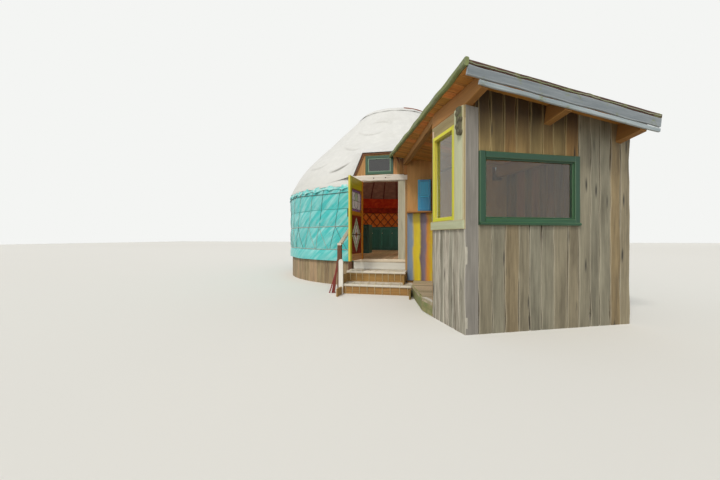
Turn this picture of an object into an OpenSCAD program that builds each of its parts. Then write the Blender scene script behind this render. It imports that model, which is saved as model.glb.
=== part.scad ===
/* [Yurt] */
// Outside diameter of the round wall over its cover
yurt_d = 6400; // [5000:100:8000]
// Height of the yurt's floor above the ground
floor_h = 620; // [450:10:800]
// Height of the lattice wall above the floor
wall_h = 1680; // [1500:10:2000]
// Thickness of the canvas cover with its felt lining
cover_t = 20; // [10:1:40]
// How far the cover hangs below the top of the floor
cover_drop = 65; // [30:5:120]
// Radius of the bend at the shoulder of the roof
shoulder_r = 2890; // [2000:10:3200]
// Lean of the roof at the eave, from upright
eave_lean = 23; // [14:1:26]
// Pitch of the straight part of the roof
roof_pitch = 44.5; // [38:0.5:48]
// Radius of the crown ring
crown_r = 1000; // [800:10:1100]
// Rise of the domed cap over the crown
crown_rise = 110; // [80:5:180]

/* [Lattice and poles] */
// Number of flat bays in the lattice wall
bay_count = 20; // [20:5:25]
// Width of a lath
lath_w = 28; // [20:1:40]
// Thickness of the two crossed layers of laths
lath_t = 24; // [16:1:36]
// Diamonds side by side in a bay
diamonds_across = 3; // [2:1:4]
// Diamonds one above another
diamonds_up = 4; // [3:1:5]
// Number of roof poles, a multiple of four
pole_count = 36; // [28:4:44]
// Width of a roof pole
pole_w = 32; // [20:1:45]
// Depth of a roof pole
pole_d = 42; // [30:1:60]
// Height of the cloth band inside the top of the lattice
band_h = 190; // [80:5:300]
// Radius of the ropes round the wall
rope_r = 8; // [5:1:14]

/* [Platform] */
// Thickness of the floor boards
floor_t = 35; // [25:1:60]
// Thickness of the boarded skirt under the floor
skirt_t = 25; // [18:1:40]
// Width of a pier under the floor
pier_w = 140; // [90:5:200]
// Distance of the outer piers from the middle
pier_ring = 1900; // [1400:50:2200]

/* [Door] */
// Clear width between the jambs
door_w = 820; // [700:10:900]
// Height of the lintel's underside above the head of the wall
lintel_up = 10; // [0:5:60]
// Width of a jamb across the front
jamb_w = 150; // [90:5:180]
// Depth of a jamb
jamb_d = 140; // [110:5:180]
// Height of the lintel
lintel_h = 130; // [90:5:180]
// How far the lintel runs past a jamb
lintel_over = 45; // [0:5:80]
// How far the lintel and threshold stand in front of the jambs
sill_proud = 25; // [10:5:40]
// Thickness of the threshold
threshold_t = 60; // [40:5:70]
// Gap round the leaf
leaf_gap = 7; // [5:1:12]
// Thickness of the leaf
leaf_t = 44; // [35:1:60]
// Width of a stile
stile_w = 95; // [70:5:120]
// Height of the top rail
top_rail_h = 230; // [80:5:260]
// Height of the middle rail
lock_rail_h = 65; // [50:5:140]
// Height of the middle rail's underside above the leaf's foot
lock_rail_up = 920; // [800:10:1100]
// Height of the bottom rail
bottom_rail_h = 125; // [90:5:200]
// Thickness of a pane
glass_t = 6; // [4:1:10]
// Thickness of the red panel
panel_t = 18; // [12:1:26]
// Angle at which the door stands open
door_open = 96.5; // [90:0.5:100]
// Distance of the hinge axis in front of the jamb
hinge_out = 14; // [14:1:20]
// Length of a strap hinge
strap_l = 330; // [200:10:420]
// Height of a strap hinge
strap_h = 40; // [30:1:60]

/* [Dormer over the door] */
// Height of the dormer front
dormer_h = 480; // [380:10:560]
// Width of the dormer at its head
dormer_top_w = 700; // [660:10:760]
// Width of the window frame
transom_w = 610; // [500:10:640]
// Height of the window frame
transom_h = 410; // [300:10:450]
// Width of the window frame's members
transom_bar = 55; // [30:5:70]
// Thickness of the dormer's boards
dormer_t = 30; // [20:1:40]
// Thickness of the hood
hood_t = 15; // [10:1:25]

/* [Steps] */
// Height of the lower tread
step_h = 190; // [150:5:220]
// Height of the landing
landing_h = 400; // [350:5:450]
// Thickness of a tread
tread_t = 45; // [30:1:60]
// Depth of the landing, from the lintel's face to its front
landing_run = 415; // [360:5:480]
// Depth of the lower step, from the landing's front to its own
step_run = 420; // [300:5:480]
// Left end of the treads
steps_left = 615; // [580:5:640]
// Right end of the lower tread
step_right = 735; // [700:5:760]
// Right end of the landing
landing_right = 590; // [560:5:598]
// How far a tread runs past its riser
nosing = 30; // [15:1:50]
// Thickness of risers and strings
riser_t = 25; // [18:1:40]
// Height of the newel
newel_h = 985; // [850:5:1100]
// Width of the newel
newel_w = 80; // [60:1:100]
// Slope of the handrail
rail_slope = 22; // [15:1:30]
// Thickness of the handrail
rail_t = 45; // [30:1:60]

/* [Cabin] */
// Angle of the cabin's front to the door
cabin_turn = 24.2; // [24:0.1:25]
// Corner nearest the front, to the right of the door
corner_x = 1449; // [1400:1:1500]
// Corner nearest the front, in front of the yurt's wall
corner_out = 3164; // [3100:1:3200]
// Length of the front wall
front_l = 2300; // [2250:10:2450]
// Length of the left wall
left_l = 850; // [700:10:1000]
// Thickness of a cabin wall
cabin_t = 70; // [50:1:100]
// Height of the corner under the purlin that lies on it
corner_h = 2585; // [2540:5:2700]
// Slope of the cabin roof
cabin_pitch = 8.2; // [5:0.1:11]
// Height of the porch floor
porch_h = 190; // [150:5:190]
// Thickness of the porch floor boards
porch_t = 35; // [25:1:45]
// Bend in the left edge of the porch floor, to the right of the door
porch_bend_x = 955; // [900:5:1000]
// The same bend, in front of the yurt's wall
porch_bend_out = 2070; // [1950:10:2200]

/* [Inside] */
// Height of the cabinets above the floor
counter_h = 850; // [700:10:950]
// Depth of a cabinet
counter_d = 520; // [400:10:650]
// Length of the cabinet at the back
counter_l = 1100; // [800:10:1500]
// Thickness of a cabinet's boards
counter_t = 20; // [15:1:30]

/* [Cabin windows] */
// Left edge of the green window, from the corner
green_s = 174; // [150:1:300]
// Width of the green window
green_w = 1352; // [1000:1:1500]
// Height of the green window's foot
green_z = 1240; // [1000:10:1400]
// Height of the green window
green_h = 835; // [600:5:900]
// Width of the green frame's members
green_bar = 75; // [50:1:100]
// Near edge of the yellow window, from the corner
yellow_t = 215; // [200:1:260]
// Width of the yellow window
yellow_w = 580; // [400:5:590]
// Height of the yellow window's foot
yellow_z = 1300; // [1200:10:1400]
// Distance of the yellow window's head below the head of the wall
yellow_head = 155; // [140:5:300]
// Width of the yellow frame's members
yellow_bar = 50; // [35:1:70]
// How far a window frame stands out of its wall
frame_proud = 22; // [10:1:40]

/* [Cabin roof] */
// Width of a purlin
purlin_w = 90; // [60:1:120]
// Height of a purlin
purlin_h = 225; // [150:5:260]
// How far the underside of a purlin rises from the front wall to its end
tail_rise = 60; // [0:5:90]
// Height of the side beam that runs back to the yurt
beam_h = 130; // [90:5:150]
// Place of the middle purlin along the front wall
mid_purlin = 1030; // [900:10:1200]
// Place of the right purlin along the front wall
right_purlin = 2070; // [1900:10:2080]
// Thickness of the boards over the purlins
soffit_t = 22; // [15:1:35]
// Thickness of the mossy covering
cover_roof_t = 60; // [30:1:90]
// Overhang past the front wall
front_over = 290; // [200:10:400]
// Overhang past the left wall at the front corner
left_over = 180; // [100:10:300]
// Overhang past the right wall
right_over = 20; // [10:5:120]
// Height of the wide front board
verge_h = 108; // [80:1:110]
// Height of the thin front board under it
lower_verge_h = 45; // [30:1:70]
// Thickness of the front boards
verge_t = 28; // [18:1:40]
// Gap between the two front boards
verge_gap = 16; // [6:1:30]
// How far the thin front board starts in from the left end
lower_verge_in = 150; // [0:10:300]
// Height of the timber along the left edge
side_h = 90; // [80:5:180]
// Thickness of the timber along the left edge
side_t = 50; // [28:1:70]

/* [Hidden] */
$fn = 240;

// Clearance between curved faces that lie against each other
touch = 0.3;
// Clearance between the laid pieces of a round wall
bay_gap = 4;

// Yurt, worked out from the driving sizes
yurt_r = yurt_d / 2;
eave_z = floor_h + wall_h;
cover_in = yurt_r - cover_t;
lattice_r = cover_in - 15;
floor_r = cover_in - 10;
skirt_r = floor_r - 10;
bend_r = yurt_r - shoulder_r * cos(eave_lean);
bend_z = eave_z - shoulder_r * sin(eave_lean);
bend_end = 90 - roof_pitch;
bend_steps = 8;
ring_d = 80;
ring_h = 90;
ring_top = roof_height(crown_r, cover_t);
cover_top = eave_z - cover_t * sin(eave_lean) - touch;
lattice_top = eave_z - (cover_t + touch + pole_d) * sin(eave_lean) - 1;
pole_foot_r = cover_in - 2;

// Door, worked out
front_y = -yurt_r - 50;
frame_w = door_w + 2 * jamb_w;
frame_half = frame_w / 2;
door_h = wall_h + lintel_up;
lintel_w = frame_w + 2 * lintel_over;
lintel_z = floor_h + door_h;
lintel_top = lintel_z + lintel_h;
lintel_front = front_y - sill_proud;
jamb_back = front_y + jamb_d;
landing_front = landing_run - lintel_front;
step_front = landing_front + step_run;
door_angle = asin((frame_half + touch) / cover_in);
lattice_open = door_angle + 0.8;
bay_step = (360 - 2 * lattice_open) / bay_count;
bay_apothem = lattice_r * cos(bay_step / 2);
bay_inner = bay_apothem - lath_t;
leaf_w = door_w - 2 * leaf_gap;
leaf_h = door_h - 2 * leaf_gap;
leaf_foot = floor_h + leaf_gap;
hinge_x = -door_w / 2 + leaf_gap / 2;
hinge_y = front_y - hinge_out;
leaf_start = leaf_gap / 2;
hinge_heights = [leaf_foot + bottom_rail_h / 2, leaf_foot + leaf_h - top_rail_h / 2];
hinge_pin_r = 5;
hinge_eye_r = 9;
pin_fit = 0.05;

// Cabin, worked out
corner_y = yurt_r + corner_out;
porch_bend_y = yurt_r + porch_bend_out;
cabin_corner = [corner_x, -corner_y];
back_y = front_y - 50;
back_t = 50;
back_left = frame_half + lintel_over;
right_s = front_l - cabin_t;
yellow_h = corner_h - yellow_head - yellow_z;
roof_z = corner_h;
roof_back_left = [240, back_y - 10];
roof_right_s = front_l + right_over;
top_drop = tan(cabin_pitch);
notch_gap = 3;
notch_h = 2 * purlin_h;
notch_lean = notch_h * top_drop;
purlin_step = purlin_w + purlin_h * sin(cabin_pitch) + notch_gap;

// Height of the yurt roof at radius r, measured d under its outer face, on the straight part
function roof_height(r, d) =
    bend_z + (shoulder_r - d) * sin(bend_end)
    + (bend_r + (shoulder_r - d) * cos(bend_end) - r) * tan(roof_pitch);

// One edge of the roof's section, d under its outer face, from the eave in to radius r
function roof_edge(d, r) = concat(
    [for (i = [0:bend_steps]) let (a = eave_lean + (bend_end - eave_lean) * i / bend_steps)
        [bend_r + (shoulder_r - d) * cos(a), bend_z + (shoulder_r - d) * sin(a)]],
    [[r, roof_height(r, d)]]);

// Height of a cabin wall's head at the distance s along the front wall
function wall_head(s) = corner_h - s * top_drop - touch;

// Height under the roof boards at the distance s along the front wall
function soffit_head(s) = wall_head(s) + purlin_h / cos(cabin_pitch);

// Height of the foot of the notch for the purlin at the distance s
function notch_foot(s) = wall_head(s + purlin_w) - notch_gap;

// The points of a list in the other order
function turned(list) = [for (i = [len(list) - 1:-1:0]) list[i]];

// A ground point in the cabin's own directions: along its front wall and into the cabin
function cabin_point(p) = let (v = p - cabin_corner) [
    v[0] * cos(cabin_turn) + v[1] * sin(cabin_turn),
    -v[0] * sin(cabin_turn) + v[1] * cos(cabin_turn)];

// Distance into the cabin at which a line s along the front wall meets the wall at depth y
function reach(s, y) = (y + corner_y - s * sin(cabin_turn)) / cos(cabin_turn);

// Distance to the right of the door of a point s along the front wall and t into the cabin
function ground_x(s, t) = corner_x + s * cos(cabin_turn) - t * sin(cabin_turn);

// The same where the line s along the front wall meets the depth y
function meets_x(s, y) = ground_x(s, reach(s, y));

// A point s along the front wall and t into the cabin, seen from above
function ground_point(s, t) = [ground_x(s, t), s * sin(cabin_turn) + t * cos(cabin_turn) - corner_y];

// A curved band standing on its edge, from angle a over the angle span
module wall_arc(r_in, r_out, z, h, a, span) {
    translate([0, 0, z])
        rotate_extrude(angle = span, start = a)
            translate([r_in, 0])
                square([r_out - r_in, h]);
}

// Places what is drawn along the cabin's front wall, at its corner
module at_cabin() {
    translate([corner_x, -corner_y, 0])
        rotate([0, 0, cabin_turn])
            children();
}

// Places what is drawn on the slope of the cabin roof, level with the wall's head
module on_slope() {
    at_cabin()
        translate([0, 0, roof_z])
            rotate([0, cabin_pitch, 0])
                children();
}

// Stands a flat outline up so that its second axis is height, with its face towards the front
module upright(t) {
    rotate([90, 0, 0])
        translate([0, 0, -t])
            linear_extrude(t)
                children();
}

// The space of the door frame and its threshold
module door_space() {
    translate([-lintel_w / 2, lintel_front - 1, floor_h - threshold_t])
        cube([lintel_w, 1 - lintel_front + jamb_back, threshold_t + door_h + lintel_h]);
}

module platform_floor() {
    color("burlywood")
        difference() {
            translate([0, 0, floor_h - floor_t])
                cylinder(h = floor_t, r = floor_r);
            door_space();
        }
}

module platform_piers() {
    color("dimgray")
        for (at = concat([[0, 0]], [for (i = [0:7]) pier_ring * [cos(i * 45), sin(i * 45)]]))
            translate([at[0] - pier_w / 2, at[1] - pier_w / 2, 0])
                cube([pier_w, pier_w, floor_h - floor_t]);
}

module platform_skirt(a, span) {
    color("rosybrown")
        difference() {
            wall_arc(skirt_r - skirt_t, skirt_r, 0, floor_h - floor_t, a, span);
            door_space();
        }
}

// One flat bay of laths, fused where they cross, its left foot at the origin
module lattice_bay(w, h) {
    cell_w = w / diamonds_across;
    cell_h = h / (diamonds_up + 0.5);
    lath_slope = atan(cell_h / cell_w);
    half_w = cell_w / 2 - lath_w / 2 / sin(lath_slope);
    half_h = cell_h / 2 - lath_w / 2 / cos(lath_slope);
    linear_extrude(lath_t)
        difference() {
            square([w, h]);
            for (i = [0:2 * diamonds_across], j = [0:2 * diamonds_up + 1])
                if ((i + j) % 2 == 1)
                    translate([i * cell_w / 2, j * cell_h / 2])
                        polygon([[-half_w, 0], [0, -half_h], [half_w, 0], [0, half_h]]);
        }
}

// A run of bays of the lattice wall, counted from the left jamb round the back
module lattice_run(first, count) {
    bay_w = 2 * bay_inner * tan(bay_step / 2) - bay_gap;
    color("sienna")
        for (k = [first:first + count - 1])
            rotate([0, 0, 180 - lattice_open - (k + 0.5) * bay_step])
                translate([-bay_w / 2, bay_apothem, floor_h])
                    rotate([90, 0, 0])
                        lattice_bay(bay_w, lattice_top - floor_h);
}

module wall_cover(a, span) {
    color("mediumturquoise")
        wall_arc(cover_in, yurt_r, floor_h - cover_drop, cover_top - floor_h + cover_drop, a, span);
}

module wall_ropes() {
    color("ivory")
        for (up = [0.115, 0.43, 0.67])
            translate([0, 0, floor_h + up * wall_h])
                rotate_extrude(angle = 360 - 2 * door_angle - 1, start = -90 + door_angle + 0.5)
                    translate([yurt_r + rope_r + touch, 0])
                        circle(r = rope_r, $fn = 24);
}

module inner_band() {
    half_open = door_angle + 4;
    band_t = 4;
    band_r = bay_inner - touch;
    color("firebrick")
        wall_arc(band_r - band_t, band_r, lattice_top - band_h, band_h, -90 + half_open, 360 - 2 * half_open);
}

// The outline of the dormer seen from the front, grown by g past its boards
module dormer_outline(g) {
    polygon([
        [-frame_half - g, lintel_top],
        [frame_half + g, lintel_top],
        [dormer_top_w / 2 + g, lintel_top + dormer_h + g],
        [-dormer_top_w / 2 - g, lintel_top + dormer_h + g]]);
}

// The space behind the dormer, from its boards back through the roof
module dormer_space(g) {
    translate([0, lintel_front, 0])
        upright(yurt_r / 3)
            dormer_outline(g);
}

// A sector of the roof cover, from angle a
module roof_cover(a) {
    edge_r = crown_r + 20;
    color("whitesmoke")
        difference() {
            rotate_extrude(angle = 90, start = a)
                polygon(concat(roof_edge(0, edge_r), turned(roof_edge(cover_t, edge_r))));
            door_space();
            dormer_space(0);
        }
}

// One bent roof pole in its upright plane, from the lattice to the crown ring
module roof_pole() {
    outer = cover_t + touch;
    rotate([90, 0, 0])
        translate([0, 0, -pole_w / 2])
            linear_extrude(pole_w)
                intersection() {
                    union() {
                        polygon(concat(roof_edge(outer, crown_r), turned(roof_edge(outer + pole_d, crown_r))));
                        pole_heel(outer);
                    }
                    square([pole_foot_r, 2 * yurt_r]);
                }
}

// The heel under a pole's foot, which stands on the head of the lattice
module pole_heel(outer) {
    foot = roof_edge(outer, crown_r)[0];
    belly = roof_edge(outer + pole_d / 2, crown_r)[1];
    polygon([
        foot,
        belly,
        [bay_inner, belly[1]],
        [bay_inner, lattice_top],
        [foot[0], lattice_top]]);
}

// The poles on one side of the door, and the short one over the dormer
module pole_side(side) {
    step = 360 / pole_count;
    full = pole_count / 2;
    color("firebrick")
        for (k = [0:full - 1])
            difference() {
                rotate([0, 0, -90 + side * (k + 0.5) * step])
                    roof_pole();
                if (k == 0) {
                    dormer_space(hood_t + 2);
                    translate([-lintel_w / 2, lintel_front, floor_h])
                        cube([lintel_w, yurt_r / 3, lintel_top + 1 - floor_h]);
                }
            }
}

module crown_ring() {
    bar = 36;
    bar_z = ring_top - ring_h / 2 - bar / 2;
    color("sienna") {
        wall_arc(crown_r - ring_d, crown_r, ring_top - ring_h, ring_h, 0, 360);
        for (turn = [0, 90], off = [-1, 0, 1])
            rotate([0, 0, turn])
                translate([-half_chord(off), off * crown_r / 4 - bar / 2, bar_z])
                    cube([2 * half_chord(off), bar, bar]);
    }
}

// Half the length of a crown bar, so that its ends lie inside the ring
function half_chord(off) = sqrt(pow(crown_r - ring_d / 2, 2) - pow(off * crown_r / 4 + 18, 2));

module crown_cap() {
    rim_r = crown_r + 18;
    dome_r = (rim_r * rim_r + crown_rise * crown_rise) / (2 * crown_rise);
    rim_a = asin(rim_r / dome_r);
    dome_z = ring_top + crown_rise - dome_r + 14;
    seat_r = crown_r - ring_d / 2;
    inner_a = asin(seat_r / (dome_r - cover_t));
    steps = 8;
    color("whitesmoke")
        rotate_extrude()
            polygon(concat(
                [for (i = [0:steps]) [dome_r * sin(rim_a * i / steps), dome_z + dome_r * cos(rim_a * i / steps)]],
                [[rim_r, ring_top], [seat_r, ring_top]],
                [for (i = [steps:-1:0])
                    [(dome_r - cover_t) * sin(inner_a * i / steps),
                     dome_z + (dome_r - cover_t) * cos(inner_a * i / steps)]]));
}

module door_jambs() {
    color("tan")
        for (side = [-1, 1])
            translate([side * (door_w + jamb_w) / 2 - jamb_w / 2, front_y, floor_h])
                cube([jamb_w, jamb_d, door_h]);
}

module door_lintel() {
    color("wheat")
        translate([-lintel_w / 2, lintel_front, lintel_z])
            cube([lintel_w, jamb_back - lintel_front, lintel_h]);
}

module door_threshold() {
    color("wheat") {
        translate([-frame_half, lintel_front, floor_h - threshold_t])
            cube([frame_w, jamb_back - lintel_front, threshold_t]);
        translate([-frame_half, lintel_front, landing_h])
            cube([frame_w, sill_proud, floor_h - threshold_t - landing_h]);
    }
}

// Swings what is drawn for the closed door round its hinge to where it stands
module hung(z) {
    translate([hinge_x, hinge_y, z])
        rotate([0, 0, -door_open])
            children();
}

// The clear opening of the leaf above or below the middle rail
module leaf_light(grow) {
    low = bottom_rail_h - grow;
    high = leaf_h - top_rail_h + grow;
    translate([stile_w - grow, low])
        square([leaf_w - 2 * stile_w + 2 * grow, lock_rail_up + grow - low]);
    translate([stile_w - grow, lock_rail_up + lock_rail_h - grow])
        square([leaf_w - 2 * stile_w + 2 * grow, high - lock_rail_up - lock_rail_h + grow]);
}

module door_leaf() {
    groove = 12;
    color("gold")
        hung(leaf_foot)
            translate([leaf_start, hinge_out, 0])
                difference() {
                    upright(leaf_t)
                        difference() {
                            square([leaf_w, leaf_h]);
                            leaf_light(0);
                        }
                    translate([0, leaf_t / 2 - glass_t / 2, 0])
                        upright(glass_t)
                            translate([stile_w - groove, lock_rail_up + lock_rail_h - groove])
                                square([leaf_w - 2 * stile_w + 2 * groove,
                                    leaf_h - top_rail_h - lock_rail_up - lock_rail_h + 2 * groove]);
                    translate([0, leaf_t / 2 - panel_t / 2, 0])
                        upright(panel_t)
                            translate([stile_w - groove, bottom_rail_h - groove])
                                square([leaf_w - 2 * stile_w + 2 * groove,
                                    lock_rail_up - bottom_rail_h + 2 * groove]);
                }
}

// The pane over the middle rail and the lozenge pane in the lower panel
module door_panes() {
    rim = 11;
    color("azure", 0.6)
        hung(leaf_foot)
            translate([leaf_start, hinge_out + leaf_t / 2 - glass_t / 2, 0])
                upright(glass_t) {
                    translate([stile_w - rim, lock_rail_up + lock_rail_h - rim])
                        square([leaf_w - 2 * stile_w + 2 * rim,
                            leaf_h - top_rail_h - lock_rail_up - lock_rail_h + 2 * rim]);
                    lozenge();
                }
}

// The tall lozenge light of the lower panel
module lozenge() {
    wide = 170;
    clear = 60;
    mid_x = leaf_w / 2;
    low = bottom_rail_h + clear;
    high = lock_rail_up - clear;
    polygon([[mid_x - wide, (low + high) / 2], [mid_x, low], [mid_x + wide, (low + high) / 2], [mid_x, high]]);
}

module door_lower_panel() {
    rim = 11;
    color("darkred")
        hung(leaf_foot)
            translate([leaf_start, hinge_out + leaf_t / 2 - panel_t / 2, 0])
                upright(panel_t)
                    difference() {
                        translate([stile_w - rim, bottom_rail_h - rim])
                            square([leaf_w - 2 * stile_w + 2 * rim, lock_rail_up - bottom_rail_h + 2 * rim]);
                        lozenge();
                    }
}

module door_straps() {
    color("dimgray") {
        for (z = hinge_heights)
            hung(z - strap_h / 2)
                difference() {
                    union() {
                        cylinder(h = strap_h, r = hinge_eye_r);
                        translate([0, hinge_out - 6, 0])
                            cube([strap_l, 6, strap_h]);
                    }
                    translate([0, 0, -1])
                        cylinder(h = strap_h + 2, r = hinge_pin_r + pin_fit);
                }
        pull_up = lock_rail_up + lock_rail_h / 2;
        hung(leaf_foot + pull_up - 80)
            translate([leaf_start + leaf_w - stile_w / 2 - 10, hinge_out - 32, 0]) {
                cube([20, 12, 160]);
                cube([20, 32, 20]);
                translate([0, 0, 140])
                    cube([20, 32, 20]);
            }
    }
}

module door_pintles() {
    block_h = 30;
    arm_l = 60;
    color("dimgray")
        for (z = hinge_heights)
            translate([hinge_x, hinge_y, z - strap_h / 2]) {
                cylinder(h = strap_h, r = hinge_pin_r);
                translate([0, 0, -block_h - 1])
                    cylinder(h = block_h, r = hinge_eye_r);
                translate([0, 0, -1.5])
                    cylinder(h = 2, r = hinge_pin_r);
                translate([-arm_l, -hinge_eye_r, -block_h - 1])
                    cube([arm_l, hinge_eye_r * 2, block_h]);
                translate([-arm_l, 0, -block_h - 1])
                    cube([arm_l - leaf_gap / 2 - 3, hinge_out, block_h]);
            }
}

module dormer_front() {
    color("tan")
        translate([0, front_y, 0])
            upright(dormer_t)
                difference() {
                    dormer_outline(0);
                    translate([-transom_w / 2, lintel_top + 15])
                        square([transom_w, transom_h]);
                }
}

module dormer_window() {
    color("darkgreen")
        translate([0, front_y - 10, 0])
            upright(dormer_t + 10)
                translate([-transom_w / 2, lintel_top + 15])
                    difference() {
                        square([transom_w, transom_h]);
                        translate([transom_bar, transom_bar])
                            square([transom_w - 2 * transom_bar, transom_h - 2 * transom_bar]);
                    }
}

module dormer_glass() {
    color("azure", 0.6)
        translate([0, front_y + 10, 0])
            upright(glass_t)
                translate([-transom_w / 2 + transom_bar, lintel_top + 15 + transom_bar])
                    square([transom_w - 2 * transom_bar, transom_h - 2 * transom_bar]);
}

module dormer_hood() {
    color("whitesmoke")
        difference() {
            translate([0, lintel_front, 0])
                upright(yurt_r / 3)
                    difference() {
                        dormer_outline(hood_t);
                        dormer_outline(0);
                    }
            rotate_extrude()
                polygon(concat([[0, floor_h], [yurt_r, floor_h]],
                    roof_edge(0, crown_r), [[0, roof_height(crown_r, 0)]]));
        }
}

module step_lower() {
    color("wheat")
        translate([-steps_left, -step_front, step_h - tread_t])
            cube([steps_left + step_right, step_front - landing_front + nosing, tread_t]);
    color("peru") {
        translate([-steps_left, -step_front + nosing, 0])
            cube([steps_left + step_right, riser_t, step_h - tread_t]);
        for (x = [-steps_left, step_right - riser_t])
            translate([x, -step_front + nosing + riser_t, 0])
                cube([riser_t, step_front - landing_front - riser_t, step_h - tread_t]);
    }
}

module landing() {
    back = lintel_front;
    color("wheat")
        translate([-steps_left, -landing_front, landing_h - tread_t])
            cube([steps_left + landing_right, landing_front + back, tread_t]);
    color("peru") {
        translate([-steps_left, -landing_front + nosing, 0])
            cube([steps_left + landing_right, riser_t, landing_h - tread_t]);
        for (x = [-steps_left, landing_right - riser_t])
            translate([x, -landing_front + nosing + riser_t, 0])
                cube([riser_t, landing_front + back - nosing - riser_t, landing_h - tread_t]);
    }
}

module stair_posts() {
    rail_x = -steps_left - newel_w;
    back_post_y = front_y - newel_w;
    back_z = newel_h + (step_front - newel_w + back_post_y) * tan(rail_slope);
    picket_w = 85;
    picket_h = 672;
    picket_t = 40;
    brace_t = 30;
    brace_head = 640;
    brace_w = 80;
    brace_out = 120;
    brace_foot = 50;
    color("saddlebrown") {
        translate([rail_x, -step_front, 0])
            cube([newel_w, newel_w, newel_h]);
        translate([rail_x, back_post_y, 0])
            cube([newel_w, newel_w, back_z]);
    }
    color("ivory")
        translate([-steps_left - newel_w / 2, -step_front - picket_t, 0])
            upright(picket_t) {
                square([picket_w, picket_h - picket_w / 2]);
                translate([picket_w / 2, picket_h - picket_w / 2])
                    circle(r = picket_w / 2, $fn = 32);
            }
    color("firebrick")
        translate([rail_x - brace_t, -step_front + (newel_w - brace_t) / 2, 0])
            upright(brace_t)
                polygon([
                    [brace_t, brace_head - brace_w],
                    [brace_t, brace_head],
                    [-brace_out, 0],
                    [brace_foot - brace_out, 0]]);
}

module stair_handrail() {
    rail_x = -steps_left - newel_w;
    run = step_front + front_y;
    rise = (run - newel_w) * tan(rail_slope);
    color("ivory")
        translate([rail_x + newel_w, -step_front + newel_w, newel_h])
            rotate([90, 0, -90])
                linear_extrude(newel_w)
                    polygon([
                        [-run + newel_w, rise],
                        [newel_w, 0],
                        [newel_w, rail_t],
                        [-run + newel_w, rise + rail_t]]);
}

module porch_floor() {
    gap = 1;
    s0 = cabin_t + gap;
    s1 = right_s - gap;
    a = cabin_t + gap;
    left_gap = 5;
    left_start = 60;
    color("burlywood")
        translate([0, 0, porch_h - porch_t])
            linear_extrude(porch_t)
                polygon([
                    [step_right + left_gap, back_y - gap],
                    [step_right + left_gap, left_start - step_front],
                    [porch_bend_x, -porch_bend_y],
                    ground_point(-10, left_l + gap),
                    ground_point(s0, left_l + gap),
                    ground_point(s0, a),
                    ground_point(s1, a),
                    [meets_x(s1, back_y - gap), back_y - gap]]);
}

// The front wall: its corner carries the left purlin, and it is notched for the others
module cabin_wall_front() {
    color("gray")
        at_cabin()
            upright(cabin_t)
                difference() {
                    polygon([
                        [0, 0],
                        [front_l, 0],
                        [front_l, soffit_head(front_l)],
                        [purlin_step, soffit_head(purlin_step)],
                        [purlin_step, wall_head(purlin_step)],
                        [0, wall_head(0)]]);
                    translate([green_s, green_z])
                        square([green_w, green_h]);
                    for (s = [mid_purlin, right_purlin])
                        polygon([
                            [s - notch_gap, notch_foot(s)],
                            [s + purlin_w + notch_gap, notch_foot(s)],
                            [s + purlin_w + notch_gap + notch_lean, notch_foot(s) + notch_h],
                            [s - notch_gap + notch_lean, notch_foot(s) + notch_h]]);
                }
}

// A wall of the cabin that stands square to its front, s from the corner
module side_wall(s, t, l, hole_t, hole_z, hole_w, hole_h) {
    at_cabin()
        difference() {
            translate([0, t + l, 0])
                rotate([90, 0, 0])
                    linear_extrude(l)
                        polygon([
                            [s, 0],
                            [s + cabin_t, 0],
                            [s + cabin_t, wall_head(s + cabin_t)],
                            [s, wall_head(s)]]);
            translate([s - 1, hole_t, hole_z])
                cube([cabin_t + 2, hole_w, hole_h]);
        }
}

module cabin_wall_left() {
    color("gray")
        side_wall(0, cabin_t, left_l - cabin_t, yellow_t, yellow_z, yellow_w, yellow_h);
}

module cabin_wall_right() {
    l = reach(front_l, back_y) - cabin_t;
    color("gray")
        at_cabin()
            translate([0, cabin_t + l, 0])
                rotate([90, 0, 0])
                    linear_extrude(l)
                        polygon([
                            [right_s, 0],
                            [front_l, 0],
                            [front_l, soffit_head(front_l)],
                            [right_s, soffit_head(right_s)]]);
}

// The wall against the yurt, notched under the purlins that lie over it
module cabin_wall_back() {
    right_end = meets_x(front_l, back_y);
    left_s = cabin_point([back_left, back_y + back_t])[0];
    right_end_s = cabin_point([right_end, back_y + back_t])[0];
    color("chocolate")
        translate([0, back_y, 0])
            upright(back_t)
                difference() {
                    polygon([
                        [back_left, 0],
                        [right_end, 0],
                        [right_end, soffit_head(right_end_s)],
                        [back_left, soffit_head(left_s)]]);
                    for (s = [mid_purlin, right_purlin])
                        polygon([
                            [meets_x(s - notch_gap, back_y + back_t), notch_foot(s)],
                            [meets_x(s + purlin_w + notch_gap, back_y), notch_foot(s)],
                            [meets_x(s + purlin_w + notch_gap + notch_lean, back_y), notch_foot(s) + notch_h],
                            [meets_x(s - notch_gap + notch_lean, back_y + back_t), notch_foot(s) + notch_h]]);
                }
}

// A rectangular window frame, w by h, standing on its foot at the origin
module window_ring(w, h, bar, t) {
    upright(t)
        difference() {
            square([w, h]);
            translate([bar, bar])
                square([w - 2 * bar, h - 2 * bar]);
        }
}

module green_window() {
    color("darkgreen")
        at_cabin()
            translate([green_s, -frame_proud, green_z])
                window_ring(green_w, green_h, green_bar, cabin_t + frame_proud);
}

module green_window_glass() {
    color("azure", 0.6)
        at_cabin()
            translate([green_s + green_bar, cabin_t / 3, green_z + green_bar])
                cube([green_w - 2 * green_bar, glass_t, green_h - 2 * green_bar]);
}

module yellow_window() {
    color("yellow")
        at_cabin()
            translate([-frame_proud, yellow_t + yellow_w, yellow_z])
                rotate([0, 0, -90])
                    window_ring(yellow_w, yellow_h, yellow_bar, cabin_t + frame_proud);
}

module yellow_window_glass() {
    color("azure", 0.6)
        at_cabin()
            translate([cabin_t / 3, yellow_t + yellow_bar, yellow_z + yellow_bar])
                cube([glass_t, yellow_w - 2 * yellow_bar, yellow_h - 2 * yellow_bar]);
}

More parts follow.
